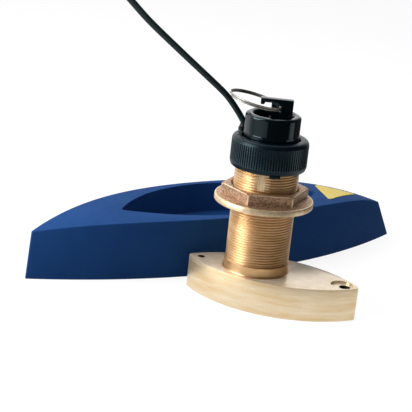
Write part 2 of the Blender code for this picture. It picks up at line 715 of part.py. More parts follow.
def make_insert_cap():
    """Glossy eight-sided cap with a round recess for the pull handle."""
    plastic = material("gloss_black", (0.006, 0.009, 0.011), 0.12)
    band_low = FLANGE_TOP + GAP
    sides = 8
    corner = []
    for index in range(sides):
        angle = CAP_TURN - math.pi / 2 + (index + 0.5) * math.tau / sides
        corner.append((CAP_R * math.cos(angle), CAP_R * math.sin(angle)))
    work = prism(corner, band_low + 1 * MM, CAP_TOP)
    upright = [e for e in work.edges if abs(e.verts[0].co.z - e.verts[1].co.z) > 1 * MM]
    bmesh.ops.bevel(work, geom=upright, offset=CAP_CORNER, segments=4, affect="EDGES", profile=0.5)
    rim = [e for e in work.edges if min(v.co.z for v in e.verts) > CAP_TOP - 1e-5]
    bmesh.ops.bevel(work, geom=rim, offset=CAP_EDGE, segments=3, affect="EDGES", profile=0.5)
    cap = add_object("insert_cap", work, plastic, sharp=25.0)
    neck = lathe(
        [
            (0.0, SPIGOT_LOW),
            (SPIGOT_R, SPIGOT_LOW),
            (SPIGOT_R, band_low),
            (CAP_BAND_R, band_low),
            (CAP_BAND_R, CAP_BAND_TOP),
            (0.0, CAP_BAND_TOP),
        ]
    )
    combine(cap, neck, "UNION")
    boss = disc(CABLE_BOSS_R, CABLE_BOSS_LOW, CABLE_BOSS_TOP, x=CABLE_EXIT_X, y=CABLE_EXIT_Y)
    combine(cap, boss, "UNION")
    seat = disc(GLAND_R + GAP, CABLE_BOSS_TOP, CABLE_BOSS_TOP + CABLE_SEAT_RISE, x=CABLE_EXIT_X, y=CABLE_EXIT_Y)
    combine(cap, seat)
    recess = lathe(
        [
            (0.0, RECESS_FLOOR),
            (RECESS_FLOOR_R, RECESS_FLOOR),
            (RECESS_R, CAP_TOP - 0.9 * MM),
            (RECESS_R + 1.6 * MM, CAP_TOP + 0.8 * MM),
            (0.0, CAP_TOP + 0.8 * MM),
        ],
        48,
    )
    combine(cap, recess)
    return cap


def make_handle():
    """Pull bar on two posts, moulded with a hook at its free end."""
    plastic = material("handle_black", (0.008, 0.01, 0.012), 0.2)
    outline = [
        (HANDLE_FOOT_LEFT, RECESS_FLOOR + GAP),
        (HANDLE_RIGHT, RECESS_FLOOR + GAP),
        (HANDLE_RIGHT, HANDLE_TOP),
        (HANDLE_LEFT, HANDLE_TOP),
        (HANDLE_LEFT, HOOK_LOW),
        (HOOK_IN, HOOK_LOW),
        (HOOK_IN + 0.6 * MM, HANDLE_BAR_LOW),
        (POST_LEFT, HANDLE_BAR_LOW),
        (POST_LEFT, WINDOW_FLOOR),
        (HANDLE_FOOT_LEFT, WINDOW_FLOOR - 3.4 * MM),
    ]
    handle = add_object("pull_handle", prism(outline, -HANDLE_HALF_Y, HANDLE_HALF_Y), plastic)
    round_edges(handle, HANDLE_EDGE)
    window = prism(
        [
            (POST_RIGHT, WINDOW_FLOOR),
            (WINDOW_RIGHT, WINDOW_FLOOR),
            (WINDOW_RIGHT, HOOK_LOW - 1.2 * MM),
            (WINDOW_RIGHT - 1.2 * MM, HOOK_LOW),
            (POST_RIGHT, HOOK_LOW),
        ],
        -2 * HANDLE_HALF_Y,
        2 * HANDLE_HALF_Y,
    )
    combine(handle, window).parent = handle
    handle.rotation_euler = (math.pi / 2, 0, HANDLE_TURN)


def make_pull_ring():
    """Split ring of two turns, pressed together into one solid, on the handle's post."""
    steel = material("ring_steel", (0.62, 0.6, 0.57), 0.2, 1.0)
    w = RING_WIRE_W / 2
    h = RING_WIRE_H / 2
    notch = 0.25 * MM
    section = [
        (RING_R - w, -h + notch),
        (RING_R - w + notch, -h),
        (RING_R + w - notch, -h),
        (RING_R + w, -h + notch),
        (RING_R + w, -notch),
        (RING_R + w - notch, 0.0),
        (RING_R + w, notch),
        (RING_R + w, h - notch),
        (RING_R + w - notch, h),
        (RING_R - w + notch, h),
        (RING_R - w, h - notch),
        (RING_R - w, notch),
        (RING_R - w + notch, 0.0),
        (RING_R - w, -notch),
    ]
    work = lathe(section, RING_SIDES)
    bmesh.ops.translate(work, verts=work.verts, vec=(-RING_R, 0, 0))
    bmesh.ops.rotate(work, verts=work.verts, matrix=Matrix.Rotation(RING_TILT, 3, "Y"))
    ring = add_object("pull_ring", work, steel)
    pivot = bpy.data.objects.new("pull_ring_pivot", None)
    bpy.context.collection.objects.link(pivot)
    pivot.location = (
        RING_PIVOT_X * math.cos(HANDLE_TURN),
        RING_PIVOT_X * math.sin(HANDLE_TURN),
        RING_PIVOT_Z,
    )
    pivot.rotation_euler = (0, 0, HANDLE_TURN)
    ring.parent = pivot


# Cable and plug


def smooth_route(points, count):
    """Points at even spacing on a smooth curve through the route's own points."""
    ends = [points[0] * 2 - points[1]] + points + [points[-1] * 2 - points[-2]]
    fine = []
    for p0, p1, p2, p3 in zip(ends, ends[1:], ends[2:], ends[3:]):
        for step in range(16):
            t = step / 16
            fine.append(
                0.5
                * (
                    2 * p1
                    + (p2 - p0) * t
                    + (2 * p0 - 5 * p1 + 4 * p2 - p3) * t * t
                    + (3 * p1 - p0 - 3 * p2 + p3) * t**3
                )
            )
    fine.append(points[-1])
    along = [0.0]
    for a, b in zip(fine, fine[1:]):
        along.append(along[-1] + (b - a).length)
    spaced = []
    at = 0
    for index in range(count):
        want = along[-1] * index / (count - 1)
        while at < len(along) - 2 and along[at + 1] < want:
            at += 1
        share = (want - along[at]) / (along[at + 1] - along[at])
        spaced.append(fine[at].lerp(fine[at + 1], share))
    return spaced


def along_line(place, direction):
    """The matrix that lays a piece made along +Z at a place, pointing in a direction."""
    return Matrix.Translation(place) @ direction.to_track_quat("Z", "Y").to_matrix().to_4x4()


def make_cable():
    """The signal cable from the cap's gland up to its plug."""
    jacket = material("cable_jacket", (0.016, 0.022, 0.026), 0.45)
    rubber = material("gland_rubber", (0.01, 0.012, 0.014), 0.5)
    shell = material("plug_plastic", (0.012, 0.013, 0.015), 0.4)
    metal = material("plug_nickel", (0.6, 0.58, 0.55), 0.28, 1.0)
    gold = material("plug_pins", (0.75, 0.6, 0.3), 0.25, 1.0)

    exit_place = Vector((CABLE_EXIT_X, CABLE_EXIT_Y, CABLE_BOSS_TOP))
    outward = Vector((0, 0, 1))
    gland = lathe(
        [
            (0.0, GAP),
            (GLAND_R, GAP),
            (GLAND_R, 0.35 * GLAND_LONG),
            (GLAND_TIP_R, GLAND_LONG),
            (0.0, GLAND_LONG),
        ],
        SMALL_SIDES,
    )
    gland.transform(along_line(exit_place, outward))
    add_object("cable_gland", gland, rubber)

    start = exit_place + outward * (GLAND_LONG + GAP)
    rise = start + outward * CABLE_RISE
    route = [start + Vector(p) * MM for p in CABLE_ROUTE]
    points = [start] + smooth_route([rise] + route, CABLE_STATIONS)
    tube("cable", points, CABLE_D / 2, jacket, 2)

    onward = (points[-1] - points[-2]).normalized()
    place = points[-1] + onward * GAP
    body = lathe(
        [
            (0.0, 0.0),
            (PLUG_NECK_R, 0.0),
            (PLUG_NECK_R + 0.8 * MM, 0.3 * PLUG_LONG),
            (PLUG_R, 0.5 * PLUG_LONG),
            (PLUG_R, PLUG_LONG - PLUG_NUT_LONG - GAP),
            (PLUG_FACE_R + 0.6 * MM, PLUG_LONG - PLUG_NUT_LONG - GAP),
            (PLUG_FACE_R + 0.6 * MM, PLUG_LONG),
            (0.0, PLUG_LONG),
        ],
        SMALL_SIDES,
    )
    body.transform(along_line(place, onward))
    add_object("plug_body", body, shell)

    nut_low = PLUG_LONG - PLUG_NUT_LONG
    nut_in = PLUG_FACE_R + 0.6 * MM + GAP
    ribbed = [
        (
            (PLUG_NUT_R - (0.6 * MM if k % 4 > 1 else 0.0)) * math.cos(math.tau * k / (4 * PLUG_NUT_RIBS)),
            (PLUG_NUT_R - (0.6 * MM if k % 4 > 1 else 0.0)) * math.sin(math.tau * k / (4 * PLUG_NUT_RIBS)),
        )
        for k in range(4 * PLUG_NUT_RIBS)
    ]
    coupling = add_object("plug_nut", prism(ribbed, nut_low, nut_low + PLUG_NUT_LONG + PLUG_NUT_PAST), metal)
    combine(coupling, disc(nut_in, 0.0, 2 * PLUG_LONG, sides=SMALL_SIDES)).parent = coupling
    coupling.matrix_world = along_line(place, onward)

    face_low = PLUG_LONG + GAP
    face_top = face_low + PLUG_FACE_THICK
    pins = add_object("plug_contacts", disc(PLUG_FACE_R, face_low, face_top), gold)
    for index in range(PLUG_PINS):
        angle = math.tau * index / PLUG_PINS
        pin = disc(
            PLUG_PIN_R,
            (face_low + face_top) / 2,
            face_top + PLUG_PIN_LONG,
            x=PLUG_PIN_CIRCLE * math.cos(angle),
            y=PLUG_PIN_CIRCLE * math.sin(angle),
            sides=10,
        )
        combine(pins, pin, "UNION").parent = pins
    pins.matrix_world = along_line(place, onward)


# Fairing block


def fairing_section(share):
    """Half width at the foot and at the top, and the top's height, at -1 to 1 along it."""
    plump = 1.0 - share * share
    foot = FAIRING_TIP_HALF + (FAIRING_FOOT_HALF - FAIRING_TIP_HALF) * plump
    top = FAIRING_TIP_HALF + (FAIRING_TOP_HALF - FAIRING_TIP_HALF) * plump
    end_top = FAIRING_STERN_TOP if share < 0 else FAIRING_BOW_TOP
    height = FAIRING_TOP - (FAIRING_TOP - end_top) * abs(share) ** 3.6
    return foot, top, height


def make_fairing():
    """Cast block shaped like a hull, with a pocket for the base, and its bow arrow."""
    blue = material("fairing_blue", (0.012, 0.045, 0.22), 0.45)
    yellow = material("arrow_yellow", (0.85, 0.66, 0.2), 0.5)
    work = bmesh.new()
    sections = []
    top_half = FAIRING_HALF_LONG - (FAIRING_STERN_RAKE + FAIRING_BOW_RAKE) / 2
    top_middle = (FAIRING_STERN_RAKE - FAIRING_BOW_RAKE) / 2
    for station in range(FAIRING_STATIONS + 1):
        share = math.sin(math.pi * (station / FAIRING_STATIONS - 0.5))
        share = 0.5 * share + 0.5 * (2 * station / FAIRING_STATIONS - 1)
        foot, top, height = fairing_section(share)
        x_foot = share * FAIRING_HALF_LONG
        x_top = top_middle + share * top_half
        sections.append(
            [
                work.verts.new((x_foot, -foot, 0.0)),
                work.verts.new((x_top, -top, height)),
                work.verts.new((x_top, top, height)),
                work.verts.new((x_foot, foot, 0.0)),
            ]
        )
    for here, after in zip(sections, sections[1:]):
        for corner in range(4):
            follow = (corner + 1) % 4
            work.faces.new((here[corner], after[corner], after[follow], here[follow]))
    work.faces.new(sections[0])
    work.faces.new(list(reversed(sections[-1])))
    fairing = add_object("fairing", work, blue, sharp=25.0)
    round_edges(fairing, FAIRING_EDGE, 1, 35.0)
    pocket_floor = FAIRING_TOP - POCKET_DEPTH
    outline = lens(
        POCKET_HALF_LONG - POCKET_SHIFT,
        POCKET_HALF_LONG + POCKET_SHIFT,
        POCKET_HALF_WIDTH,
        BASE_TIP_HALF,
        28,
    )
    pocket = combine(fairing, prism(outline, pocket_floor, FAIRING_TOP + 5 * MM))
    hole = combine(fairing, disc(STEM_HOLE_R, -5 * MM, FAIRING_TOP, x=POCKET_SHIFT, sides=48))
    for tool in (pocket, hole):
        tool.parent = fairing
    fairing.rotation_euler = (0, 0, FAIRING_TURN)
    fairing.location = (FAIRING_X, FAIRING_Y, 0)

    patch = bmesh.new()
    corners = []
    for along, across in ARROW_CORNERS:
        x = POCKET_BOW + along * (FAIRING_BOW - POCKET_BOW)
        corners.append(patch.verts.new((x, across * FAIRING_TOP_HALF, 0.0)))
    patch.faces.new(corners)
    bmesh.ops.bevel(patch, geom=corners, offset=ARROW_CORNER, segments=3, affect="VERTICES", profile=0.5)
    low_x = min(v.co.x for v in patch.verts)
    high_x = max(v.co.x for v in patch.verts)
    for band in range(1, ARROW_BANDS):
        x = low_x + (high_x - low_x) * band / ARROW_BANDS
        whole = patch.verts[:] + patch.edges[:] + patch.faces[:]
        bmesh.ops.bisect_plane(patch, geom=whole, plane_co=(x, 0, 0), plane_no=(1, 0, 0))
    for v in patch.verts:
        share = (v.co.x - top_middle) / top_half
        v.co.z = fairing_section(share)[2] + GAP
    grown = bmesh.ops.extrude_face_region(patch, geom=patch.faces[:], use_keep_orig=True)
    raised = [v for v in grown["geom"] if isinstance(v, bmesh.types.BMVert)]
    bmesh.ops.translate(patch, verts=raised, vec=(0, 0, ARROW_THICK))
    arrow = add_object("fairing_arrow", patch, yellow)
    arrow.rotation_euler = (0, 0, FAIRING_TURN)
    arrow.location = (FAIRING_X, FAIRING_Y, 0)


clear_scene()
make_housing()
make_depth_element()
make_hull_nut()
make_cap_nut()
make_insert()
make_insert_cap()
make_handle()
make_pull_ring()
make_cable()
make_fairing()
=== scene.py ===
"""The looks of a through-hull transducer and its fairing block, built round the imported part."""

import logging
import math
from collections.abc import Callable, Iterator, Sequence
from contextlib import contextmanager
from dataclasses import dataclass, field
from enum import Enum

import bmesh
import bpy
from bmesh.types import BMEdge
from bpy.types import Material, MeshPolygon, Node, NodeSocket, NodeTree
from mathutils import Matrix, Vector

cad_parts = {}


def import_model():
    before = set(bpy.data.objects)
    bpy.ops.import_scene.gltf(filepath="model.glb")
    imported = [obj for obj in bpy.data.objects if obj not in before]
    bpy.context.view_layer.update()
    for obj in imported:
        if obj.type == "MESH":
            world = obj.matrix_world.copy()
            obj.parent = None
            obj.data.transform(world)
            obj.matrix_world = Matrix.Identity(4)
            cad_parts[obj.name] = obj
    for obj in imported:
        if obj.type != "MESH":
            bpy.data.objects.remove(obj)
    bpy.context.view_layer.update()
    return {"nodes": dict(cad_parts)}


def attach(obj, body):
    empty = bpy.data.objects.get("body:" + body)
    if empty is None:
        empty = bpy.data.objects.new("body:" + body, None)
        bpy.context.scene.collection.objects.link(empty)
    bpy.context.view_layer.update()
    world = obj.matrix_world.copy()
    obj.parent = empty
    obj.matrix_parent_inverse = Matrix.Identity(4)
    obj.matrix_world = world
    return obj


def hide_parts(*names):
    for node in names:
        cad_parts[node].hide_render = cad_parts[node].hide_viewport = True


log = logging.getLogger("transducer")
MM = 0.001
BODY = "transducer"
SCRAP = 5 * MM  # how far a cutter runs past what it cuts
ARC_SIDES = 480  # of the wide drums that shape the base and the pocket
WELD = 2e-6  # points closer than this are one point
PLASTIC_IOR = 1.5
EYE_WHITE = 1.1  # a background of this strength is pure white to the camera

Pair = tuple[float, float]
Triple = tuple[float, float, float]
Size = float | Triple
Piece = bpy.types.Object


# Finishes


class Grain(Enum):
    """The pattern that a finish is broken up by."""

    NOISE = "TexNoise"
    CELLS = "TexVoronoi"


def linear(colour: str) -> tuple[float, float, float, float]:
    """Turn an sRGB hex colour to the linear one that a shader takes.

    Args:
        colour: Six hex digits.

    Returns:
        Red, green, blue and a full alpha.
    """
    parts = [int(colour[i : i + 2], 16) / 255 for i in (0, 2, 4)]
    return (*[c / 12.92 if c <= 0.04045 else ((c + 0.055) / 1.055) ** 2.4 for c in parts], 1.0)


def add_node(tree: NodeTree, kind: str, inputs: dict, **settings: object) -> Node:
    """Add a shader node with its inputs and its settings.

    Args:
        tree: The tree that it goes into.
        kind: The node's type, without the ShaderNode before it.
        inputs: By name or index, a value, a socket, or a node for its first output.
        settings: Properties of the node by name.

    Returns:
        The new node.
    """
    made = tree.nodes.new("ShaderNode" + kind)
    for name, value in settings.items():
        setattr(made, name, value)
    for key, source in inputs.items():
        if isinstance(source, Node):
            source = source.outputs[0]
        if isinstance(source, NodeSocket):
            tree.links.new(source, made.inputs[key])
        else:
            made.inputs[key].default_value = source
    return made


def ranged(
    tree: NodeTree,
    value: NodeSocket,
    span: Sequence[float],
    to: Sequence[float] = (0.0, 1.0),
    smooth: bool = True,
) -> Node:
    """Carry a value from one span over to another, held at both ends.

    Args:
        tree: The tree that the value is in.
        value: The socket that gives it.
        span: Its least and its greatest.
        to: What it becomes there.
        smooth: Whether it sets in and ends gently.

    Returns:
        The node that gives the new value.
    """
    ends = {"From Min": span[0], "From Max": span[1], "To Min": to[0], "To Max": to[1]}
    kind = "SMOOTHSTEP" if smooth else "LINEAR"
    return add_node(tree, "MapRange", {"Value": value, **ends}, interpolation_type=kind)


@dataclass(frozen=True)
class Finish:
    """A material and how its surface was made; some finishes also carry painted shade, a painted highlight or
    a painted tint of reflections.
    """

    name: str
    colour: str
    patch: str  # the colour of its darker or worn patches
    rough: Pair = (0.3, 0.4)
    metal: float = 0.0
    patch_mm: Size = 12.0
    grain_mm: Size = 0.5
    depth_mm: float = 0.0  # how high its grain stands
    grain: Grain = Grain.NOISE
    specular: float = 0.5
    sheen_tint: str = "FFFFFF"  # a painted tint of a plastic's reflections
    patch_span: Pair = (0.35, 0.68)  # of the noise, from no patch to a full one
    grain_span: Pair = (0.3, 0.7)  # of the noise, from smooth to rough

    def scaled(self, tree: NodeTree, size_mm: Size) -> Node:
        """Object coordinates, in which a pattern of one unit has a size in millimetres."""
        sizes = size_mm if isinstance(size_mm, tuple) else (size_mm,) * 3
        place = add_node(tree, "TexCoord", {}).outputs["Object"]
        return add_node(tree, "Mapping", {"Vector": place, "Scale": [1 / (size * MM) for size in sizes]})

    def build(self) -> Material:
        """Make the material, with its patches in the colour and its grain in the gloss and the relief."""
        made = bpy.data.materials.new(self.name)
        made.use_nodes = True
        tree = made.node_tree
        shader = tree.nodes["Principled BSDF"]
        clouds = {"Vector": self.scaled(tree, self.patch_mm), "Scale": 1.0, "Detail": 5.0, "Roughness": 0.6}
        patches = ranged(tree, add_node(tree, "TexNoise", clouds).outputs[0], self.patch_span, smooth=False)
        tones = {0: patches, 6: linear(self.colour), 7: linear(self.patch)}
        colour = add_node(tree, "Mix", tones, data_type="RGBA")
        tree.links.new(colour.outputs[2], shader.inputs["Base Color"])
        grain = add_node(tree, self.grain.value, {"Vector": self.scaled(tree, self.grain_mm), "Scale": 1.0})
        rough = ranged(tree, grain.outputs[0], self.grain_span, self.rough, smooth=False)
        tree.links.new(rough.outputs[0], shader.inputs["Roughness"])
        if self.depth_mm:
            relief = {"Height": grain, "Strength": 1.0, "Distance": self.depth_mm * MM}
            tree.links.new(add_node(tree, "Bump", relief).outputs[0], shader.inputs["Normal"])
        shader.inputs["Metallic"].default_value = self.metal
        if not self.metal:
            shader.inputs["IOR"].default_value = PLASTIC_IOR
            shader.inputs["Specular IOR Level"].default_value = self.specular
            # Painted reflection: the plastic's reflections take the sheen tint.
            shader.inputs["Specular Tint"].default_value = linear(self.sheen_tint)
        return made


# Silicon bronze, ground along its length with a belt: long soft scratches
BELT_GROUND_BRONZE = Finish(
    "belt_ground_bronze", "EFDDBE", "E1C292", (0.26, 0.42), 0.82, (40, 40, 5), (18, 18, 0.7), depth_mm=0.035
)
# The same metal, machined flat and wiped: smooth enough to show what stands on it
FACED_BRONZE = Finish("faced_bronze", "EDDDC5", "DFCCB0", (0.20, 0.24), 0.5, 9, 5)
# Drilled holes' walls, painted dark brown: painted shade inside the holes
BORE_PAINTED_SHADE = Finish("bore_painted_shade", "3B2A1C", "241A12", (0.55, 0.7), 0.5, 3, 1, depth_mm=0.02)
# The same metal, turned and thread-cut: fine tool rings round the axis. Its colour is painted darker and more
# orange than the other bronze: painted shade of the thread's grooves, given to the plain collar too
TURNED_BRONZE_PAINTED_SHADE = Finish("turned_bronze_painted_shade", "DFB98C", "CEA270", (0.30, 0.38), 0.9, (14, 14, 5), (9, 9, 1.2))
# The same metal where a cutter milled the two flats: fine upright lines
MILLED_BRONZE = Finish(
    "milled_bronze", "EFDDBC", "C9A878", (0.30, 0.42), 0.45, (2, 2, 14), (1.2, 1.2, 14), depth_mm=0.02
)
# Bronze as it left the sand mould: brown skin, its grain drawn about twice as coarse so that it shows
SAND_CAST_BRONZE = Finish("sand_cast_bronze", "D0AC8D", "72543C", (0.34, 0.60), 0.8, 1.5, 0.9, depth_mm=0.4)
# The casting's edges and rim, rubbed bright
RUBBED_BRONZE = Finish("rubbed_bronze", "F0D8B7", "DABB92", (0.28, 0.40), 0.62, 3, 1.2, depth_mm=0.03)
# Glass-filled nylon, moulded satin: a slight tooth that greys its highlight
SATIN_NYLON = Finish(
    "satin_nylon", "03131B", "020D14", (0.30, 0.40), 0.0, 6, 0.8, depth_mm=0.012, specular=0.32,
    sheen_tint="B8DCE8",
)
# The ribs' crowns of the same nylon, painted a lighter blue-black with a stronger gloss: a painted highlight
# along each rib
NYLON_PAINTED_CROWN_HIGHLIGHT = Finish(
    "nylon_painted_crown_highlight", "0A1E27", "06161E", (0.22, 0.32), 0.0, 6, 0.8, specular=0.9, sheen_tint="C4E2EC"
)
# Acetal, moulded in a polished tool: near black and very glossy
GLOSS_ACETAL = Finish(
    "gloss_acetal", "020A0E", "01070A", (0.08, 0.14), 0.0, 8, 4.5, depth_mm=0.03, sheen_tint="C4E0EA"
)
# The insert's tube, moulded in the same acetal with a plainer tool
TUBE_ACETAL = Finish("tube_acetal", "0A0D10", "080A0C", (0.24, 0.34), 0.0, 8, 1.5, depth_mm=0.02)
# Stainless spring wire, drawn bright
SPRING_STEEL = Finish("spring_steel", "B6B3AE", "9D9A96", (0.42, 0.52), 1.0, 6)
# Polyurethane cable jacket, extruded: smooth and slightly waxy
JACKET = Finish(
    "polyurethane_jacket", "081B1E", "061417", (0.34, 0.46), 0.0, 9, 2, depth_mm=0.02, sheen_tint="BCE2E4"
)
# Nitrile rubber, moulded
NITRILE = Finish("nitrile_rubber", "0D0E10", "090A0B", (0.55, 0.7), 0.0, 4, 0.5, depth_mm=0.02)
# Nickel-plated brass, turned
NICKEL = Finish("nickel_plate", "C9C3B8", "B9B2A6", (0.16, 0.26), 1.0, 5, 0.8, depth_mm=0.008)
# Gold-plated contact pins
GOLD = Finish("gold_plate", "E3C077", "D8B065", (0.14, 0.22), 1.0, 3, 0.6, depth_mm=0.005)
# High-density urethane block with a rolled gelcoat: very slight orange peel
BLUE_GELCOAT = Finish(
    "blue_gelcoat", "1E467E", "1A4076", (0.6, 0.7), 0.0, 45, 3.5, depth_mm=0.02, specular=0.05
)
# Screen-printed vinyl patch
YELLOW_VINYL = Finish(
    "yellow_vinyl", "E3CC6C", "DCC35E", (0.46, 0.54), 0.0, 8, 1.5, depth_mm=0.01, specular=0.15
)
# Epoxy poured over the element, cured flush
EPOXY = Finish("epoxy_window", "17181A", "101113", (0.3, 0.42), 0.0, 7, 2, depth_mm=0.03)
# Fired piezo ceramic with its silvered face
CERAMIC = Finish("piezo_ceramic", "C9C0AE", "B7AD99", (0.5, 0.65), 0.0, 3, 0.4, depth_mm=0.02)
# Pressed cork and rubber
CORK = Finish(
    "pressed_cork", "8A6138", "5E3F22", (0.8, 0.95), 0.0, 1.6, 1.1, depth_mm=0.15, grain=Grain.CELLS
)
# Fluoropolymer lead insulation
LEAD_RED = Finish("lead_insulation", "A3201C", "8C1815", (0.35, 0.45), 0.0, 5, 1, depth_mm=0.01)
# Ground stainless axle
AXLE_STEEL = Finish("ground_steel", "C4C2BE", "B4B1AC", (0.2, 0.3), 1.0, 3, (4, 0.3, 4), depth_mm=0.01)
# Turned brass probe
PROBE_BRASS = Finish("turned_brass", "D6B36C", "C7A05A", (0.2, 0.3), 1.0, 3, (3, 3, 0.3), depth_mm=0.01)
# Solder mask over a glass board
SOLDER_MASK = Finish("solder_mask", "1B5A35", "174E2D", (0.3, 0.42), 0.0, 3, 0.5, depth_mm=0.02)
# The paddlewheel's acetal, moulded matt
WHEEL_PLASTIC = Finish("paddle_acetal", "1A1B1E", "141517", (0.36, 0.48), 0.0, 4, 0.7, depth_mm=0.02)


# Modelling by hand


def only(piece: Piece) -> None:
    """Select one piece alone and make it active."""
    for other in list(bpy.context.selected_objects):
        other.select_set(False)
    piece.select_set(True)
    bpy.context.view_layer.objects.active = piece


def settle(piece: Piece) -> Piece:
    """Put a piece's place, turn and size into its mesh."""
    only(piece)
    bpy.ops.object.transform_apply(location=True, rotation=True, scale=True)
    return piece


def select_whole() -> None:
    """Select all of the piece in edit mode."""
    bpy.ops.mesh.select_all(action="SELECT")


@contextmanager
def editing(piece: Piece, whole: bool = False) -> Iterator[None]:
    """Hold a piece in edit mode, with all or nothing of it selected at first."""
    only(piece)
    bpy.ops.object.mode_set(mode="EDIT")
    bpy.ops.mesh.select_mode(type="VERT")
    bpy.ops.mesh.select_all(action="SELECT" if whole else "DESELECT")
    yield
    bpy.ops.object.mode_set(mode="OBJECT")


def pick(piece: Piece, test: Callable[[BMEdge], bool]) -> None:
    """Select the edges of a piece in edit mode that pass a test."""
    bpy.ops.mesh.select_all(action="DESELECT")
    bpy.ops.mesh.select_mode(type="EDGE")
    work = bmesh.from_edit_mesh(piece.data)
    for edge in work.edges:
        edge.select_set(bool(test(edge)))
    bmesh.update_edit_mesh(piece.data)


def middle(edge: BMEdge) -> Vector:
    """The middle of an edge."""
    return (edge.verts[0].co + edge.verts[1].co) / 2


def rise_of(edge: BMEdge) -> float:
    """How far an edge climbs."""
    return abs(edge.verts[0].co.z - edge.verts[1].co.z)


def added(name: str) -> Piece:
    """Name the primitive that was just added, and settle it."""
    piece = bpy.context.active_object
    piece.name = name
    piece.data.name = name
    return settle(piece)


def modify(piece: Piece, kind: str, **settings: object) -> Piece:
    """Add a modifier to a piece and apply it.

    Args:
        piece: The piece to change.
        kind: The modifier's type.
        settings: Its properties by name.

    Returns:
        The same piece.
    """
    only(piece)
    change = piece.modifiers.new(kind.lower(), kind)
    for name, value in settings.items():
        setattr(change, name, value)
    bpy.ops.object.modifier_apply(modifier=change.name)
    return piece


def drop(piece: Piece) -> None:
    """Remove a tool that has done its work."""
    mesh = piece.data
    bpy.data.objects.remove(piece, do_unlink=True)
    bpy.data.meshes.remove(mesh)


def cut(piece: Piece, tool: Piece, operation: str = "DIFFERENCE") -> Piece:
    """Cut a tool out of a piece, or join it on or keep what both share, and remove the tool."""
    modify(piece, "BOOLEAN", operation=operation, object=tool, solver="EXACT")
    drop(tool)
    return piece


def joined(piece: Piece, *others: Piece) -> Piece:
    """Join other meshes into a piece."""
    only(piece)
    for other in others:
        other.select_set(True)
    bpy.ops.object.join()
    return piece


def linked(name: str, data: bpy.types.ID) -> bpy.types.Object:
    """Put an object with these data into the scene."""
    made = bpy.data.objects.new(name, data)
    bpy.context.scene.collection.objects.link(made)
    return made


def turned(piece: Piece, turn: float) -> Piece:
    """Turn a piece's mesh about the Z axis."""
    piece.data.transform(Matrix.Rotation(turn, 4, "Z"))
    return piece


def heading(turn: float) -> Vector:
    """The level direction at a turn about the Z axis."""
    return Vector((math.cos(turn), math.sin(turn), 0))


def ringed(first: Piece, count: int) -> Piece:
    """Repeat a piece round the Z axis, as one piece."""
    twins = [
        turned(linked(f"{first.name}_{index}", first.data.copy()), math.tau * index / count)
        for index in range(1, count)
    ]
    return joined(first, *twins)


def mark(piece: Piece, slot: int, test: Callable[[MeshPolygon], bool]) -> None:
    """Give the material of a slot to the faces that pass a test."""
    for face in piece.data.polygons:
        if test(face):
            face.material_index = slot


def drum(name: str, radius: float, low: float, high: float, at: Pair = (0, 0), sides: int = 64) -> Piece:
    """Add an upright cylinder, or a prism with its first corner along Y, between two heights."""
    bpy.ops.mesh.primitive_cylinder_add(
        vertices=sides, radius=radius, depth=high - low, location=(*at, (low + high) / 2)
    )
    return added(name)


def block(name: str, low: Sequence[float], high: Sequence[float]) -> Piece:
    """Add a box between two corners."""
    size = [b - a for a, b in zip(low, high)]
    centre = [(a + b) / 2 for a, b in zip(low, high)]
    bpy.ops.mesh.primitive_cube_add(size=1.0, location=centre, scale=size)
    return added(name)


def drawn(name: str, line: Sequence[Sequence[float]]) -> Piece:
    """Draw a line of edges by extruding one vertex from point to point.

    Args:
        name: The new piece's name.
        line: Points of the line.

    Returns:
        A piece of loose edges.
    """
    bpy.ops.mesh.primitive_plane_add(size=MM, location=line[0])
    piece = added(name)
    with editing(piece, whole=True):
        bpy.ops.mesh.merge(type="CENTER")
        for here, there in zip(line, line[1:]):
            step = Vector(there) - Vector(here)
            bpy.ops.mesh.extrude_vertices_move(TRANSFORM_OT_translate={"value": step})
    return piece


def tidy_shell(piece: Piece) -> Piece:
    """Merge doubles and point a closed shell's faces outwards."""
    with editing(piece, whole=True):
        bpy.ops.mesh.remove_doubles(threshold=WELD)
        bpy.ops.mesh.normals_make_consistent(inside=False)
    return piece


def spun(name: str, profile: Sequence[Pair], steps: int = 96) -> Piece:
    """Spin an outline of (radius, height) points about the Z axis.

    Args:
        name: The new piece's name.
        profile: The outline. A ring's outline ends where it began.
        steps: How many steps make the whole turn.

    Returns:
        A closed piece.
    """
    piece = drawn(name, [(radius, 0.0, height) for radius, height in profile])
    with editing(piece, whole=True):
        bpy.ops.mesh.spin(steps=steps, angle=math.tau, center=(0, 0, 0), axis=(0, 0, 1), use_auto_merge=True)
    return tidy_shell(piece)


def screwed(piece: Piece, steps: int, angle: float, climb: float, repeats: int = 1) -> Piece:
    """Screw an outline up the Z axis.

    Args:
        piece: The outline, as loose edges.
        steps: How many steps one screw has.
        angle: How far it turns.
        climb: How far it climbs.
        repeats: How many screws follow one another.

    Returns:
        The same piece, open at both ends.
    """
    return modify(
        piece,
        "SCREW",
        steps=steps,
        render_steps=steps,
        angle=angle,
        screw_offset=climb,
        iterations=repeats,
        use_merge_vertices=repeats > 1,
        merge_threshold=WELD,
        use_smooth_shade=True,
    )


def softened(piece: Piece, width: float, segments: int = 3, angle: float = 30.0, slot: int = -1) -> Piece:
    """Bevel a piece's sharp edges, with a material slot for the bevels if one is given."""
    return modify(
        piece,
        "BEVEL",
        width=width,
        segments=segments,
        limit_method="ANGLE",
        angle_limit=math.radians(angle),
        material=slot,
        use_clamp_overlap=True,
    )


def shaded(piece: Piece, angle: float = 30.0) -> Piece:
    """Shade a piece smooth up to an angle."""
    only(piece)
    bpy.ops.object.shade_smooth_by_angle(angle=math.radians(angle))
    return piece


def dressed(piece: Piece, *finishes: Material) -> Piece:
    """Give a piece its materials, the first of them where none is assigned."""
    piece.data.materials.clear()
    for finish in finishes:
        piece.data.materials.append(finish)
    return piece


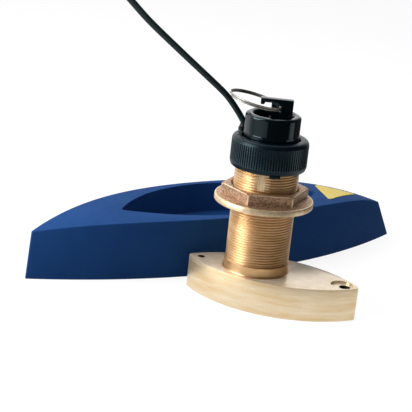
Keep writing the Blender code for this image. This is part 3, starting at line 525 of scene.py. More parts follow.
def placed(piece: Piece, node: str, body: str = BODY) -> Piece:
    """Make a finished piece ride on a body and stand for its node, whose CAD part it hides."""
    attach(piece, body)
    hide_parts(node)
    log.info("%s rides on %s, %d faces", piece.name, body, len(getattr(piece.data, "polygons", [])))
    return piece


def finished(piece: Piece, finish: Finish, node: str, angle: float = 30.0, body: str = BODY) -> Piece:
    """Give a piece one finish, shade it and place it.

    Args:
        piece: The piece.
        finish: What it is made of.
        node: The CAD node that it stands for.
        angle: The sharpest edge in degrees that is shaded smooth.
        body: The body that it moves with.

    Returns:
        The same piece.
    """
    return placed(shaded(dressed(piece, finish.build()), angle), node, body)


def trimmed(piece: Piece, normal: tuple[int, int, int], low: float, high: float) -> Piece:
    """Cut both ends of a piece off square to a normal, and close them."""
    with editing(piece):
        for place, is_low in ((low, True), (high, False)):
            select_whole()
            bpy.ops.mesh.bisect(
                plane_co=place * Vector(normal),
                plane_no=normal,
                use_fill=True,
                clear_inner=is_low,
                clear_outer=not is_low,
            )
    return tidy_shell(piece)


def fill_outline() -> None:
    """Close the outline in edit mode to one face."""
    bpy.ops.mesh.remove_doubles(threshold=WELD)
    select_whole()
    bpy.ops.mesh.edge_face_add()


def lens_block(
    name: str, short: float, long: float, half_width: float, tip_half: float, low: float, high: float
) -> Piece:
    """Raise a pointed lens with blunt tips: what two wide drums share, cut off at both ends.

    Args:
        name: The new piece's name.
        short: From the origin to the tip towards -X.
        long: From the origin to the tip towards +X.
        half_width: Half its greatest width.
        tip_half: Half the width of its blunt tips.
        low: Its underside.
        high: Its top.

    Returns:
        A closed piece.
    """
    half = (short + long) / 2
    centre = (long - short) / 2
    rise = half_width - tip_half
    radius = (half * half + rise * rise) / (2 * rise)
    piece = drum(name, radius, low, high, (centre, half_width - radius), ARC_SIDES)
    other = drum(name + "_other", radius, low - SCRAP, high + SCRAP, (centre, radius - half_width), ARC_SIDES)
    cut(piece, other, "INTERSECT")
    return trimmed(piece, (1, 0, 0), -short, long)


# Bronze housing


@dataclass
class Housing:
    """Cast base, with a threaded stem turned on it."""

    short: float = 55.6 * MM
    long: float = 84.2 * MM
    half_width: float = 31.8 * MM
    tip_half: float = 1.6 * MM
    thick: float = 26.6 * MM
    tip_round: float = 1.1 * MM
    edge: float = 0.55 * MM
    pin_hole: Pair = (-45.8 * MM, 3.0 * MM)  # place along X, radius
    sink: Triple = (71.0 * MM, 9.0 * MM, 1.7 * MM)  # place, radius, depth
    bolt_hole: Pair = (73.4 * MM, 4.4 * MM)
    stem_r: float = 25.4 * MM
    stem_top: float = 123.0 * MM
    collar_r: float = 26.0 * MM
    collar_top: float = 35.0 * MM
    collar_edge: float = 0.5 * MM
    fillet: float = 1.3 * MM
    bore_r: float = 21.5 * MM
    pitch: float = 2.117 * MM  # 12 turns to the inch
    spare_turns: int = 2  # of thread, cut off again at each end
    stem_steps: int = 120  # in a turn
    thread_depth: float = 0.85 * MM
    flat_depth: float = 1.0 * MM
    flat_low: float = 97.0 * MM
    flat_turn: float = math.radians(-84)
    cavity: Triple = (47.5 * MM, 18.6 * MM, 21.0 * MM)  # place, radius, top

    def make_base(self) -> Piece:
        """Shape the base, bore it, assign its faces to the ways they were worked, and paint shade on its
        holes' walls.
        """
        base = lens_block(
            "housing_base", self.short, self.long, self.half_width, self.tip_half, 0.0, self.thick
        )
        with editing(base):
            upright = 0.8 * self.thick
            pick(base, lambda e: e.calc_length() > upright and abs(middle(e).y) < 2 * MM)
            bpy.ops.mesh.bevel(offset=self.tip_round, segments=5, affect="EDGES", clamp_overlap=True)
        softened(base, self.edge, angle=50)
        top = self.thick + SCRAP
        sink_x, sink_r, sink_depth = self.sink
        cavity_x, cavity_r, cavity_top = self.cavity
        tools = [
            drum("bore", self.bore_r, -SCRAP, top, sides=128),
            drum("cavity", cavity_r, -SCRAP, cavity_top, (cavity_x, 0), 96),
            drum("pin", self.pin_hole[1], -SCRAP, top, (self.pin_hole[0], 0), 48),
            drum("sink", sink_r, self.thick - sink_depth, top, (sink_x, 0), 72),
            drum("bolt", self.bolt_hole[1], -SCRAP, top, (self.bolt_hole[0], 0), 48),
        ]
        for tool in tools:
            cut(base, tool)
        dressed(base, BELT_GROUND_BRONZE.build(), FACED_BRONZE.build(), BORE_PAINTED_SHADE.build())
        mark(base, 0, lambda face: True)
        mark(base, 1, lambda face: abs(face.normal.z) > 0.5 and face.center.z > MM)
        # Painted shade: the walls of the pin hole, the bolt hole and the bore take the dark finish.
        for hole_x, hole_r in (self.pin_hole, self.bolt_hole, (0.0, self.bore_r)):
            centre, near = Vector((hole_x, 0)), hole_r + 0.1 * MM
            mark(base, 2, lambda face: abs(face.normal.z) < 0.5 and (face.center.xy - centre).length < near)
        return shaded(base)

    def thread_line(self) -> list[Triple]:
        """One turn of the thread's outline, from root to root."""
        root = self.stem_r - self.thread_depth
        shape = [
            (0.00, 0.0), (0.10, 0.0), (0.18, 0.10), (0.40, 0.86), (0.47, 1.0),
            (0.59, 1.0), (0.66, 0.86), (0.88, 0.10), (0.96, 0.0), (1.0, 0.0),
        ]  # fmt: skip
        start = self.collar_top - self.spare_turns * self.pitch
        return [(root + rise * self.thread_depth, 0.0, start + share * self.pitch) for share, rise in shape]

    def make_stem(self) -> Piece:
        """Screw the thread's outline up the stem, cut both ends off and mill the flats."""
        stem = drawn("housing_stem", self.thread_line())
        turns = math.ceil((self.stem_top - self.collar_top) / self.pitch) + 2 * self.spare_turns
        screwed(stem, self.stem_steps, math.tau, self.pitch, turns)
        trimmed(stem, (0, 0, 1), self.collar_top - 0.5 * MM, self.stem_top)
        work = bmesh.new()
        work.from_mesh(stem.data)
        across = self.stem_r - self.flat_depth
        for turn in (self.flat_turn, self.flat_turn + math.pi):
            out = heading(turn)
            for vert in work.verts:
                past = vert.co.dot(out) - across
                if past > 0 and vert.co.z > self.flat_low:
                    vert.co -= out * past
        work.to_mesh(stem.data)
        work.free()
        cut(stem, drum("stem_bore", self.bore_r, self.collar_top - SCRAP, self.stem_top + SCRAP, sides=96))
        # Painted shade: the stem takes the darker, more orange bronze.
        dressed(stem, TURNED_BRONZE_PAINTED_SHADE.build(), MILLED_BRONZE.build())
        flat = heading(self.flat_turn)
        mark(stem, 1, lambda face: abs(face.normal.dot(flat)) > 0.999 and face.center.z > self.flat_low)
        return shaded(stem, 40)

    def make_collar(self) -> Piece:
        """Turn the plain foot of the stem, with the fillet where it meets the base."""
        edge, fillet, r = self.collar_edge, self.fillet, self.collar_r
        thick, top = self.thick, self.collar_top
        foot = thick - 3 * MM
        outline = [
            (self.bore_r, foot), (r + fillet, foot), (r + fillet, thick + 0.05 * MM),
            (r + 0.42 * fillet, thick + 0.22 * fillet), (r + 0.12 * fillet, thick + 0.6 * fillet),
            (r, thick + fillet), (r, top - edge), (r - edge, top), (self.bore_r, top), (self.bore_r, foot),
        ]  # fmt: skip
        collar = spun("housing_collar", outline, steps=144)
        # The plain collar takes the same painted-darker bronze.
        return shaded(dressed(collar, TURNED_BRONZE_PAINTED_SHADE.build()))

    def make(self) -> None:
        """Build the housing's three pieces."""
        for piece in (self.make_base(), self.make_stem(), self.make_collar()):
            placed(piece, "housing")


# Nuts


@dataclass
class HullNut:
    """Sand-cast hexagon nut with a round flange."""

    bore: float = 25.7 * MM
    low: float = 81.7 * MM
    rim_top: float = 86.6 * MM
    hex_low: float = 88.0 * MM
    top: float = 95.6 * MM
    rim_r: float = 39.2 * MM
    hex_r: float = 34.9 * MM
    turn: float = math.radians(23.3)
    countersink: float = 1.6 * MM
    edge: float = 0.6 * MM

    def make(self) -> Piece:
        """Cast the hexagon on its flange, shave its corners, bore it and rub its edges."""
        finishes = SAND_CAST_BRONZE.build(), RUBBED_BRONZE.build()
        low, top, rim_r, rim_top, hex_r = self.low, self.top, self.rim_r, self.rim_top, self.hex_r
        inner = hex_r * math.cos(math.pi / 6)
        outline = [
            (0, low), (rim_r - 0.6 * MM, low), (rim_r, low + 0.6 * MM), (rim_r, rim_top - 1.1 * MM),
            (rim_r - 0.4 * MM, rim_top - 0.3 * MM), (rim_r - 1.3 * MM, rim_top), (inner, self.hex_low),
            (0, self.hex_low),
        ]  # fmt: skip
        nut = spun("hull_nut_cast", outline, steps=160)
        hexagon = turned(drum("hexagon", hex_r, low + 2 * MM, top, sides=6), self.turn - math.radians(30))
        for piece in (nut, hexagon):
            dressed(piece, *finishes)
        softened(hexagon, self.edge, angle=28, slot=1)
        outline = [
            (0, low), (hex_r + 3 * MM, low), (hex_r + 3 * MM, top - 2.6 * MM),
            (hex_r - 0.9 * MM, top - 0.4 * MM), (hex_r - 2.2 * MM, top), (0, top),
        ]  # fmt: skip
        shave = spun("shave", outline, steps=160)
        cut(hexagon, shave, "INTERSECT")
        mark(nut, 1, lambda face: face.center.xy.length > rim_r - 1.4 * MM and face.center.z < rim_top)
        cut(nut, hexagon, "UNION")
        outline = [
            (0, low - SCRAP), (self.bore, low - SCRAP), (self.bore, top - self.countersink),
            (self.bore + self.countersink + MM, top + MM), (0, top + MM),
        ]  # fmt: skip
        hole = spun("hole", outline, steps=120)
        cut(nut, hole)
        return placed(shaded(nut), "hull_nut")


@dataclass
class CapNut:
    """Moulded ring nut with ribs round its rim."""

    low: float = 111.0 * MM
    ribs_low: float = 115.1 * MM
    ribs_top: float = 131.6 * MM
    top: float = 135.2 * MM
    outer: float = 30.3 * MM
    ribs: int = 90
    groove_r: float = 0.8 * MM
    mouth: float = 23.3 * MM
    thread_r: float = 25.7 * MM
    lip_low: float = 128.2 * MM
    tab_width: float = 8.6 * MM
    tab_drop: float = 1.8 * MM
    tab_thick: float = 2.6 * MM
    tab_edge: float = 0.5 * MM
    tab_turn: float = math.radians(-64)
    lanyard_hole: Triple = (1.1 * MM, 26.4 * MM, math.radians(208))  # radius, reach, turn

    def grooves(self) -> Piece:
        """One groove's cutter, copied round the rim."""
        reach = self.outer + 0.16 * MM
        low = self.ribs_low - 0.1 * MM
        high = self.ribs_top + 0.2 * MM
        r = self.groove_r
        upper = [(r, high - r), (0.7 * r, high - 0.35 * r), (0, high)]
        first = spun("groove", [(0, low), (0.7 * r, low + 0.35 * r), (r, low + r), *upper], 10)
        first.location.x = reach
        return ringed(settle(first), self.ribs)

    def make(self) -> Piece:
        """Turn the nut, cut its ribs, and add the tab and the lanyard's hole."""
        low, top, rim, mouth = self.low, self.top, self.outer, self.mouth
        outline = [
            (self.thread_r, low), (rim - 1.8 * MM, low), (rim - 0.9 * MM, low + 0.6 * MM),
            (rim - 0.25 * MM, low + 2.4 * MM), (rim, self.ribs_low - 0.3 * MM), (rim, self.ribs_top),
            (rim - 0.25 * MM, self.ribs_top + 1.0 * MM), (rim - 0.9 * MM, top - 1.3 * MM),
            (rim - 1.9 * MM, top - 0.45 * MM), (rim - 3.4 * MM, top), (mouth + 0.5 * MM, top),
            (mouth, top - 0.5 * MM), (mouth, self.lip_low), (self.thread_r, self.lip_low),
            (self.thread_r, low),
        ]  # fmt: skip
        nut = spun("cap_nut_moulding", outline, steps=180)
        cut(nut, self.grooves())
        half = self.tab_width / 2
        tab = block(
            "tab",
            (rim - 0.6 * MM - self.tab_thick, -half, low - self.tab_drop),
            (rim - 0.6 * MM, half, low + 1.4 * MM),
        )
        softened(tab, self.tab_edge)
        cut(nut, turned(tab, self.tab_turn), "UNION")
        hole_r, reach, turn = self.lanyard_hole
        hole_low = self.lip_low + 1.5 * MM
        cut(nut, drum("hole", hole_r, hole_low, top + SCRAP, (reach * heading(turn)).xy, 24))
        dressed(nut, SATIN_NYLON.build(), NYLON_PAINTED_CROWN_HIGHLIGHT.build())
        # Painted highlight: the ribs' crowns take the lighter, glossier nylon.
        crown_r = rim - 0.05 * MM
        mark(nut, 1, lambda f: self.ribs_low < f.center.z < self.ribs_top and f.center.xy.length > crown_r)
        return placed(shaded(nut, 35), "cap_nut")


# Insert


@dataclass
class InsertCap:
    """Glossy eight-sided cap with a dished recess, and the cable's boss on its flank."""

    corner_r: float = 22.8 * MM
    band_r: float = 21.9 * MM
    low: float = 128.2 * MM
    band_top: float = 138.6 * MM
    top: float = 153.4 * MM
    turn: float = math.radians(13)
    corner_round: float = 4.4 * MM
    top_round: float = 2.2 * MM
    crown: float = 0.16 * MM  # how far each flat swells at its middle
    flat_cuts: int = 9
    recess_r: float = 16.1 * MM
    recess_floor: float = 145.0 * MM
    spigot_r: float = 17.3 * MM
    spigot_low: float = 118.0 * MM
    boss_at: Pair = (-23.7 * MM, 1.7 * MM)
    boss_r: float = 3.7 * MM
    boss_low: float = 136.0 * MM
    seat_r: float = 3.8 * MM

    def swell_flats(self, cap: Piece) -> None:
        """Crown the octagon's flats a little, as a moulding's are."""
        across = self.corner_r * math.cos(math.pi / 8)
        half = self.corner_r * math.sin(math.pi / 8) - self.corner_round
        for index in range(8):
            turn = self.turn + math.radians(22.5 + 45 * index)
            out, along = heading(turn), heading(turn + math.pi / 2)
            for vert in cap.data.vertices:
                aside = vert.co.dot(along) / half
                if abs(aside) < 1 and vert.co.dot(out) > across - 0.01 * MM:
                    vert.co += out * self.crown * (1 - aside * aside)

    def make(self) -> Piece:
        """Shape the octagon, join the round band, and cut the recess and the cable's seat."""
        cap = turned(drum("insert_cap_moulding", self.corner_r, self.low + MM, self.top, sides=8), self.turn)
        with editing(cap):
            pick(cap, lambda e: rise_of(e) > 5 * MM)
            bpy.ops.mesh.bevel(offset=self.corner_round, segments=10, affect="EDGES")
            pick(cap, lambda e: e.calc_length() > 5 * MM and rise_of(e) < MM)
            bpy.ops.mesh.subdivide(number_cuts=self.flat_cuts)
        self.swell_flats(cap)
        with editing(cap):
            pick(cap, lambda e: min(v.co.z for v in e.verts) > self.top - 0.01 * MM)
            bpy.ops.mesh.bevel(offset=self.top_round, segments=8, affect="EDGES")
        low, top, band_r, band_top = self.low, self.top, self.band_r, self.band_top
        wide, floor = self.recess_r, self.recess_floor
        outline = [
            (0, self.spigot_low), (self.spigot_r, self.spigot_low), (self.spigot_r, low), (band_r, low),
            (band_r, band_top - 0.6 * MM), (band_r - 0.25 * MM, band_top - 0.15 * MM),
            (band_r - 0.8 * MM, band_top), (0, band_top),
        ]  # fmt: skip
        band = spun("band", outline, steps=144)
        cut(cap, band, "UNION")
        boss = drum("boss", self.boss_r, self.boss_low, band_top, self.boss_at, 48)
        cut(cap, boss, "UNION")
        cut(cap, drum("seat", self.seat_r, band_top, band_top + 7 * MM, self.boss_at, 48))
        outline = [
            (0, floor), (wide - 1.6 * MM, floor), (wide - 1.3 * MM, floor + 0.3 * MM),
            (wide - 1.1 * MM, floor + 1.0 * MM), (wide - 0.3 * MM, top - 1.9 * MM), (wide, top - 0.95 * MM),
            (wide + 0.5 * MM, top - 0.35 * MM), (wide + 1.5 * MM, top + 0.02 * MM),
            (wide + 1.5 * MM, top + 2 * MM), (0, top + 2 * MM),
        ]  # fmt: skip
        recess = spun("recess", outline, steps=120)
        cut(cap, recess)
        return finished(cap, GLOSS_ACETAL, "insert_cap", 24)


@dataclass
class PullHandle:
    """Bar on two posts with a hook at its free end, which the ring hangs on."""

    turn: float = math.radians(16)
    half_y: float = 3.4 * MM
    floor: float = 145.3 * MM
    top: float = 165.4 * MM
    bar_low: float = 162.3 * MM
    left: float = -11.2 * MM
    right: float = 14.207 * MM
    hook_in: float = -8.4 * MM
    hook_low: float = 160.4 * MM
    post_left: float = -2.593 * MM
    post_right: float = 3.4 * MM
    window_right: float = 4.6 * MM
    window_floor: float = 152.0 * MM
    window_low: float = 155.6 * MM
    foot_left: float = -5.993 * MM
    edge: float = 0.65 * MM

    def make(self) -> Piece:
        """Draw the handle's side, thicken it, cut its window and soften its edges."""
        side = [
            (self.foot_left, self.floor), (self.right, self.floor), (self.right, self.top),
            (self.left, self.top), (self.left, self.hook_low), (self.hook_in, self.hook_low),
            (self.hook_in + 0.6 * MM, self.bar_low), (self.post_left, self.bar_low),
            (self.post_left, self.window_floor), (self.foot_left, self.window_floor - 3.4 * MM),
            (self.foot_left, self.floor),
        ]  # fmt: skip
        handle = drawn("pull_handle_moulding", [(x, -self.half_y, z) for x, z in side])
        with editing(handle, whole=True):
            fill_outline()
            bpy.ops.mesh.extrude_region_move(TRANSFORM_OT_translate={"value": (0, 2 * self.half_y, 0)})
        tidy_shell(handle)
        window = block(
            "window",
            (self.post_right, -2 * self.half_y, self.window_low),
            (self.window_right, 2 * self.half_y, self.hook_low),
        )
        cut(handle, window)
        softened(handle, self.edge, 4)
        return finished(turned(handle, self.turn), GLOSS_ACETAL, "pull_handle")


@dataclass
class PullRing:
    """Split ring, two turns of spring wire pressed together."""

    radius: float = 20.5 * MM
    wire_r: float = 0.72 * MM
    turns: float = 1.9
    crossing: float = 0.1  # of a turn
    tilt: float = math.radians(11.8)
    pivot: Triple = (4.861 * MM, 1.394 * MM, 158.4 * MM)
    turn: float = math.radians(16)
    wire_end: float = math.radians(200)  # where round the ring the wire begins
    sides: int = 14
    steps: int = 220  # along the whole wire
    pressed: float = 0.97  # of the wire's radius, from the ring's middle to each turn
    stretched: float = 8 * MM  # what a turn climbs before it is pressed

    def press_turns(self, ring: Piece) -> None:
        """Bring the stretched turns together, side by side, with one short crossing."""
        low, high = self.turns / 2 - self.crossing / 2, self.turns / 2 + self.crossing / 2
        for vert in ring.data.vertices:
            angle = math.atan2(vert.co.y, vert.co.x) / math.tau
            turn = round(vert.co.z / self.stretched - angle) + angle
            share = min(max((turn - low) / (high - low), 0.0), 1.0)
            share = share * share * (3 - 2 * share)
            vert.co.z += self.wire_r * self.pressed * (2 * share - 1) - self.stretched * turn

    def make(self) -> Piece:
        """Screw a wire's section through two turns, press them together and lay it on its pivot."""
        angles = [math.tau * k / self.sides for k in range(self.sides + 1)]
        section = [(self.radius + self.wire_r * math.cos(a), 0.0, self.wire_r * math.sin(a)) for a in angles]
        ring = drawn("split_ring", section)
        with editing(ring, whole=True):
            bpy.ops.mesh.remove_doubles(threshold=WELD)
        screwed(ring, self.steps, math.tau * self.turns, self.stretched * self.turns)
        self.press_turns(ring)
        with editing(ring):
            bpy.ops.mesh.select_non_manifold()
            bpy.ops.mesh.edge_face_add()
            select_whole()
            bpy.ops.mesh.normals_make_consistent(inside=False)
        lay = (
            Matrix.Translation(self.pivot)
            @ Matrix.Rotation(self.turn, 4, "Z")
            @ Matrix.Rotation(self.tilt, 4, "Y")
            @ Matrix.Translation((-self.radius, 0, 0))
            @ Matrix.Rotation(self.wire_end, 4, "Z")
        )
        ring.data.transform(lay)
        return finished(ring, SPRING_STEEL, "pull_ring", 50, "pull_ring")


@dataclass
class Foot:
    """What shows in the base's underside: the wheel and the window."""

    axle: float = 10.3 * MM  # height of the wheel's axle
    wheel_r: float = 9.6 * MM
    wheel_half: float = 4.6 * MM
    hub_r: float = 3.6 * MM
    vane_thick: float = 2.0 * MM
    vane_edge: float = 0.35 * MM
    tilt: float = math.radians(45)  # how the vanes stand at rest
    bore_r: float = 1.85 * MM
    vanes: int = 4
    cup: Triple = (3.4 * MM, 6.6 * MM, 3.95 * MM)  # a vane's hollow: radius, place
    window: Triple = (47.5 * MM, 18.3 * MM, 3.0 * MM)  # place, radius, thickness

    def make_wheel(self) -> Piece:
        """Cup four vanes round a bored hub."""
        wheel = drum("paddlewheel_moulding", self.hub_r, -self.wheel_half, self.wheel_half, sides=48)
        cup_r, cup_x, cup_y = self.cup
        for index in range(self.vanes):
            vane = block(
                f"vane_{index}",
                (0.4 * self.hub_r, -self.vane_thick / 2, -self.wheel_half),
                (self.wheel_r - 0.25 * MM, self.vane_thick / 2, self.wheel_half),
            )
            softened(vane, self.vane_edge, 2)
            hollow = drum("hollow", cup_r, -2 * self.wheel_half, 2 * self.wheel_half, (cup_x, cup_y), 40)
            cut(vane, hollow)
            cut(wheel, turned(vane, math.tau * index / self.vanes), "UNION")
        cut(wheel, drum("axle_hole", self.bore_r, -2 * self.wheel_half, 2 * self.wheel_half, sides=32))
        lay = (
            Matrix.Translation((0, 0, self.axle))
            @ Matrix.Rotation(self.tilt, 4, "Y")
            @ Matrix.Rotation(math.pi / 2, 4, "X")
        )
        wheel.data.transform(lay)
        return finished(wheel, WHEEL_PLASTIC, "paddlewheel", body="paddlewheel")

    def make_window(self) -> Piece:
        """Pour the epoxy window with a slight meniscus at its edge."""
        x, radius, thick = self.window
        outline = [
            (0, 0.1 * MM), (radius - 1.6 * MM, 0.1 * MM), (radius - 0.5 * MM, 0.02 * MM), (radius, 0.0),
            (radius, thick), (0, thick),
        ]  # fmt: skip
        window = spun("acoustic_window_pour", outline, steps=96)
        window.location.x = x
        return finished(settle(window), EPOXY, "acoustic_window")

    def make(self) -> None:
        """Build the wheel and the window."""
        self.make_wheel()
        self.make_window()


# Cable


def smooth_route(points: Sequence[Vector], count: int, fineness: int = 16) -> list[Vector]:
    """Points at even spacing on a smooth curve through a route's own points.

    Args:
        points: The route's points.
        count: How many points to give.
        fineness: How many steps are measured between two of the route's points.

    Returns:
        The evenly spaced points, both ends included.
    """
    ends = [points[0] * 2 - points[1], *points, points[-1] * 2 - points[-2]]
    fine = []
    for p0, p1, p2, p3 in zip(ends, ends[1:], ends[2:], ends[3:]):
        for t in (step / fineness for step in range(fineness)):
            square = (2 * p0 - 5 * p1 + 4 * p2 - p3) * t * t
            fine.append(0.5 * (2 * p1 + (p2 - p0) * t + square + (3 * p1 - p0 - 3 * p2 + p3) * t**3))
    fine.append(points[-1])
    along = [0.0]
    for a, b in zip(fine, fine[1:]):
        along.append(along[-1] + (b - a).length)
    spaced = []
    at = 0
    for index in range(count):
        want = along[-1] * index / (count - 1)
        while at < len(along) - 2 and along[at + 1] < want:
            at += 1
        share = (want - along[at]) / (along[at + 1] - along[at])
        spaced.append(fine[at].lerp(fine[at + 1], share))
    return spaced


@dataclass
class SignalCable:
    """The cable from the cap's gland to its plug."""

    diameter: float = 5.0 * MM
    exit: Triple = (-23.7 * MM, 1.7 * MM, 141.3 * MM)
    rise: float = 1.2 * MM
    route: tuple[Triple, ...] = (
        (-24.7, 1.4, 144.2),
        (-28.8, 0.3, 150.2),
        (-35.3, -4.6, 160.1),
        (-40.9, -10.3, 167.4),
        (-49.1, -20.3, 177.3),
        (-66.2, -41.8, 198.0),
        (-83.2, -67.5, 220.9),
        (-92.9, -85.9, 237.5),
        (-97.1, -94.4, 244.8),
    )
    gland_low: float = 138.9 * MM
    gland_top: float = 141.0 * MM
    gland_r: float = 2.95 * MM
    tip_r: float = 2.65 * MM
    plug_r: float = 8.4 * MM
    plug_long: float = 38.0 * MM
    plug_neck: float = 4.6 * MM
    plug_gap: float = 0.3 * MM  # from the jacket's end
    face_r: float = 7.2 * MM
    nut_r: float = 10.0 * MM
    nut_long: float = 15.0 * MM
    nut_past: float = 6.0 * MM
    flute_r: float = 0.7 * MM
    flutes: int = 24
    line_points: int = 60
    line: list[Vector] = field(default_factory=list)

    def lay(self) -> None:
        """Work out the cable's centre line, the same as in the part."""
        start = Vector(self.exit)
        up = start + Vector((0, 0, self.rise))
        self.line = [start, *smooth_route([up, *[Vector(p) * MM for p in self.route]], self.line_points)]

    def make_cord(self) -> Piece:
        """Run the jacket along the line as one round curve."""
        run = bpy.data.curves.new("signal_cable", "CURVE")
        run.dimensions = "3D"
        spline = run.splines.new("POLY")
        spline.points.add(len(self.line) - 1)
        for place, point in zip(spline.points, self.line):
            place.co = (*point, 1.0)
        spline.use_smooth = True
        run.bevel_depth = self.diameter / 2
        run.bevel_resolution = 6
        run.use_fill_caps = True
        run.materials.append(JACKET.build())
        return placed(linked("signal_cable", run), "cable")

    def make_gland(self) -> Piece:
        """Turn the small collar that grips the jacket."""
        low, top, wide, tip = self.gland_low, self.gland_top, self.gland_r, self.tip_r
        outline = [
            (0, low), (wide, low), (wide, low + 0.8 * MM), (wide - 0.2 * MM, low + 1.1 * MM),
            (tip, top - 0.1 * MM), (tip - 0.15 * MM, top), (0, top),
        ]  # fmt: skip
        gland = spun("gland_collar", outline, steps=48)
        gland.location = (self.exit[0], self.exit[1], 0)
        return finished(settle(gland), NITRILE, "cable_gland")

    def make_plug(self) -> list[Piece]:
        """Turn the plug's shell and its ribbed coupling nut at the cable's far end."""
        onward = (self.line[-1] - self.line[-2]).normalized()
        facing = onward.to_track_quat("Z", "Y").to_matrix().to_4x4()
        lay = Matrix.Translation(self.line[-1] + onward * self.plug_gap) @ facing
        neck, r, long = self.plug_neck, self.plug_r, self.plug_long
        nut_low = long - self.nut_long
        nut_top = long + self.nut_past
        nut_r, bore = self.nut_r, self.face_r + 0.3 * MM
        outline = [
            (0, 0), (neck - 0.5 * MM, 0), (neck, 0.5 * MM), (neck + 0.2 * MM, 3 * MM),
            (neck - 0.5 * MM, 3.4 * MM), (neck - 0.5 * MM, 4.6 * MM), (neck + 0.4 * MM, 5 * MM),
            (neck + 0.6 * MM, 8 * MM), (neck - 0.1 * MM, 8.4 * MM), (neck - 0.1 * MM, 9.6 * MM),
            (neck + 0.8 * MM, 10 * MM), (r - 0.8 * MM, 0.47 * long), (r, 0.5 * long),
            (r, nut_low - 0.3 * MM), (self.face_r, nut_low - 0.3 * MM), (self.face_r, long), (0, long),
        ]  # fmt: skip
        shell = spun("plug_shell", outline, steps=72)
        shell.data.transform(lay)
        outline = [
            (bore, nut_low), (nut_r - 0.6 * MM, nut_low), (nut_r, nut_low + 0.6 * MM),
            (nut_r, nut_top - 0.6 * MM), (nut_r - 0.6 * MM, nut_top), (bore, nut_top), (bore, nut_low),
        ]  # fmt: skip
        ring = spun("plug_coupling", outline, steps=108)
        flute = drum("flute", self.flute_r, nut_low + 2 * MM, long, (nut_r + 0.2 * MM, 0), 12)
        cut(ring, ringed(flute, self.flutes))
        ring.data.transform(lay)
        return [finished(shell, TUBE_ACETAL, "plug_body"), finished(ring, NICKEL, "plug_nut")]

    def make(self, nodes: dict[str, Piece]) -> None:
        self.lay()
        cable = self.make_cord()
        gland = self.make_gland()
        plug = self.make_plug()


# Fairing block


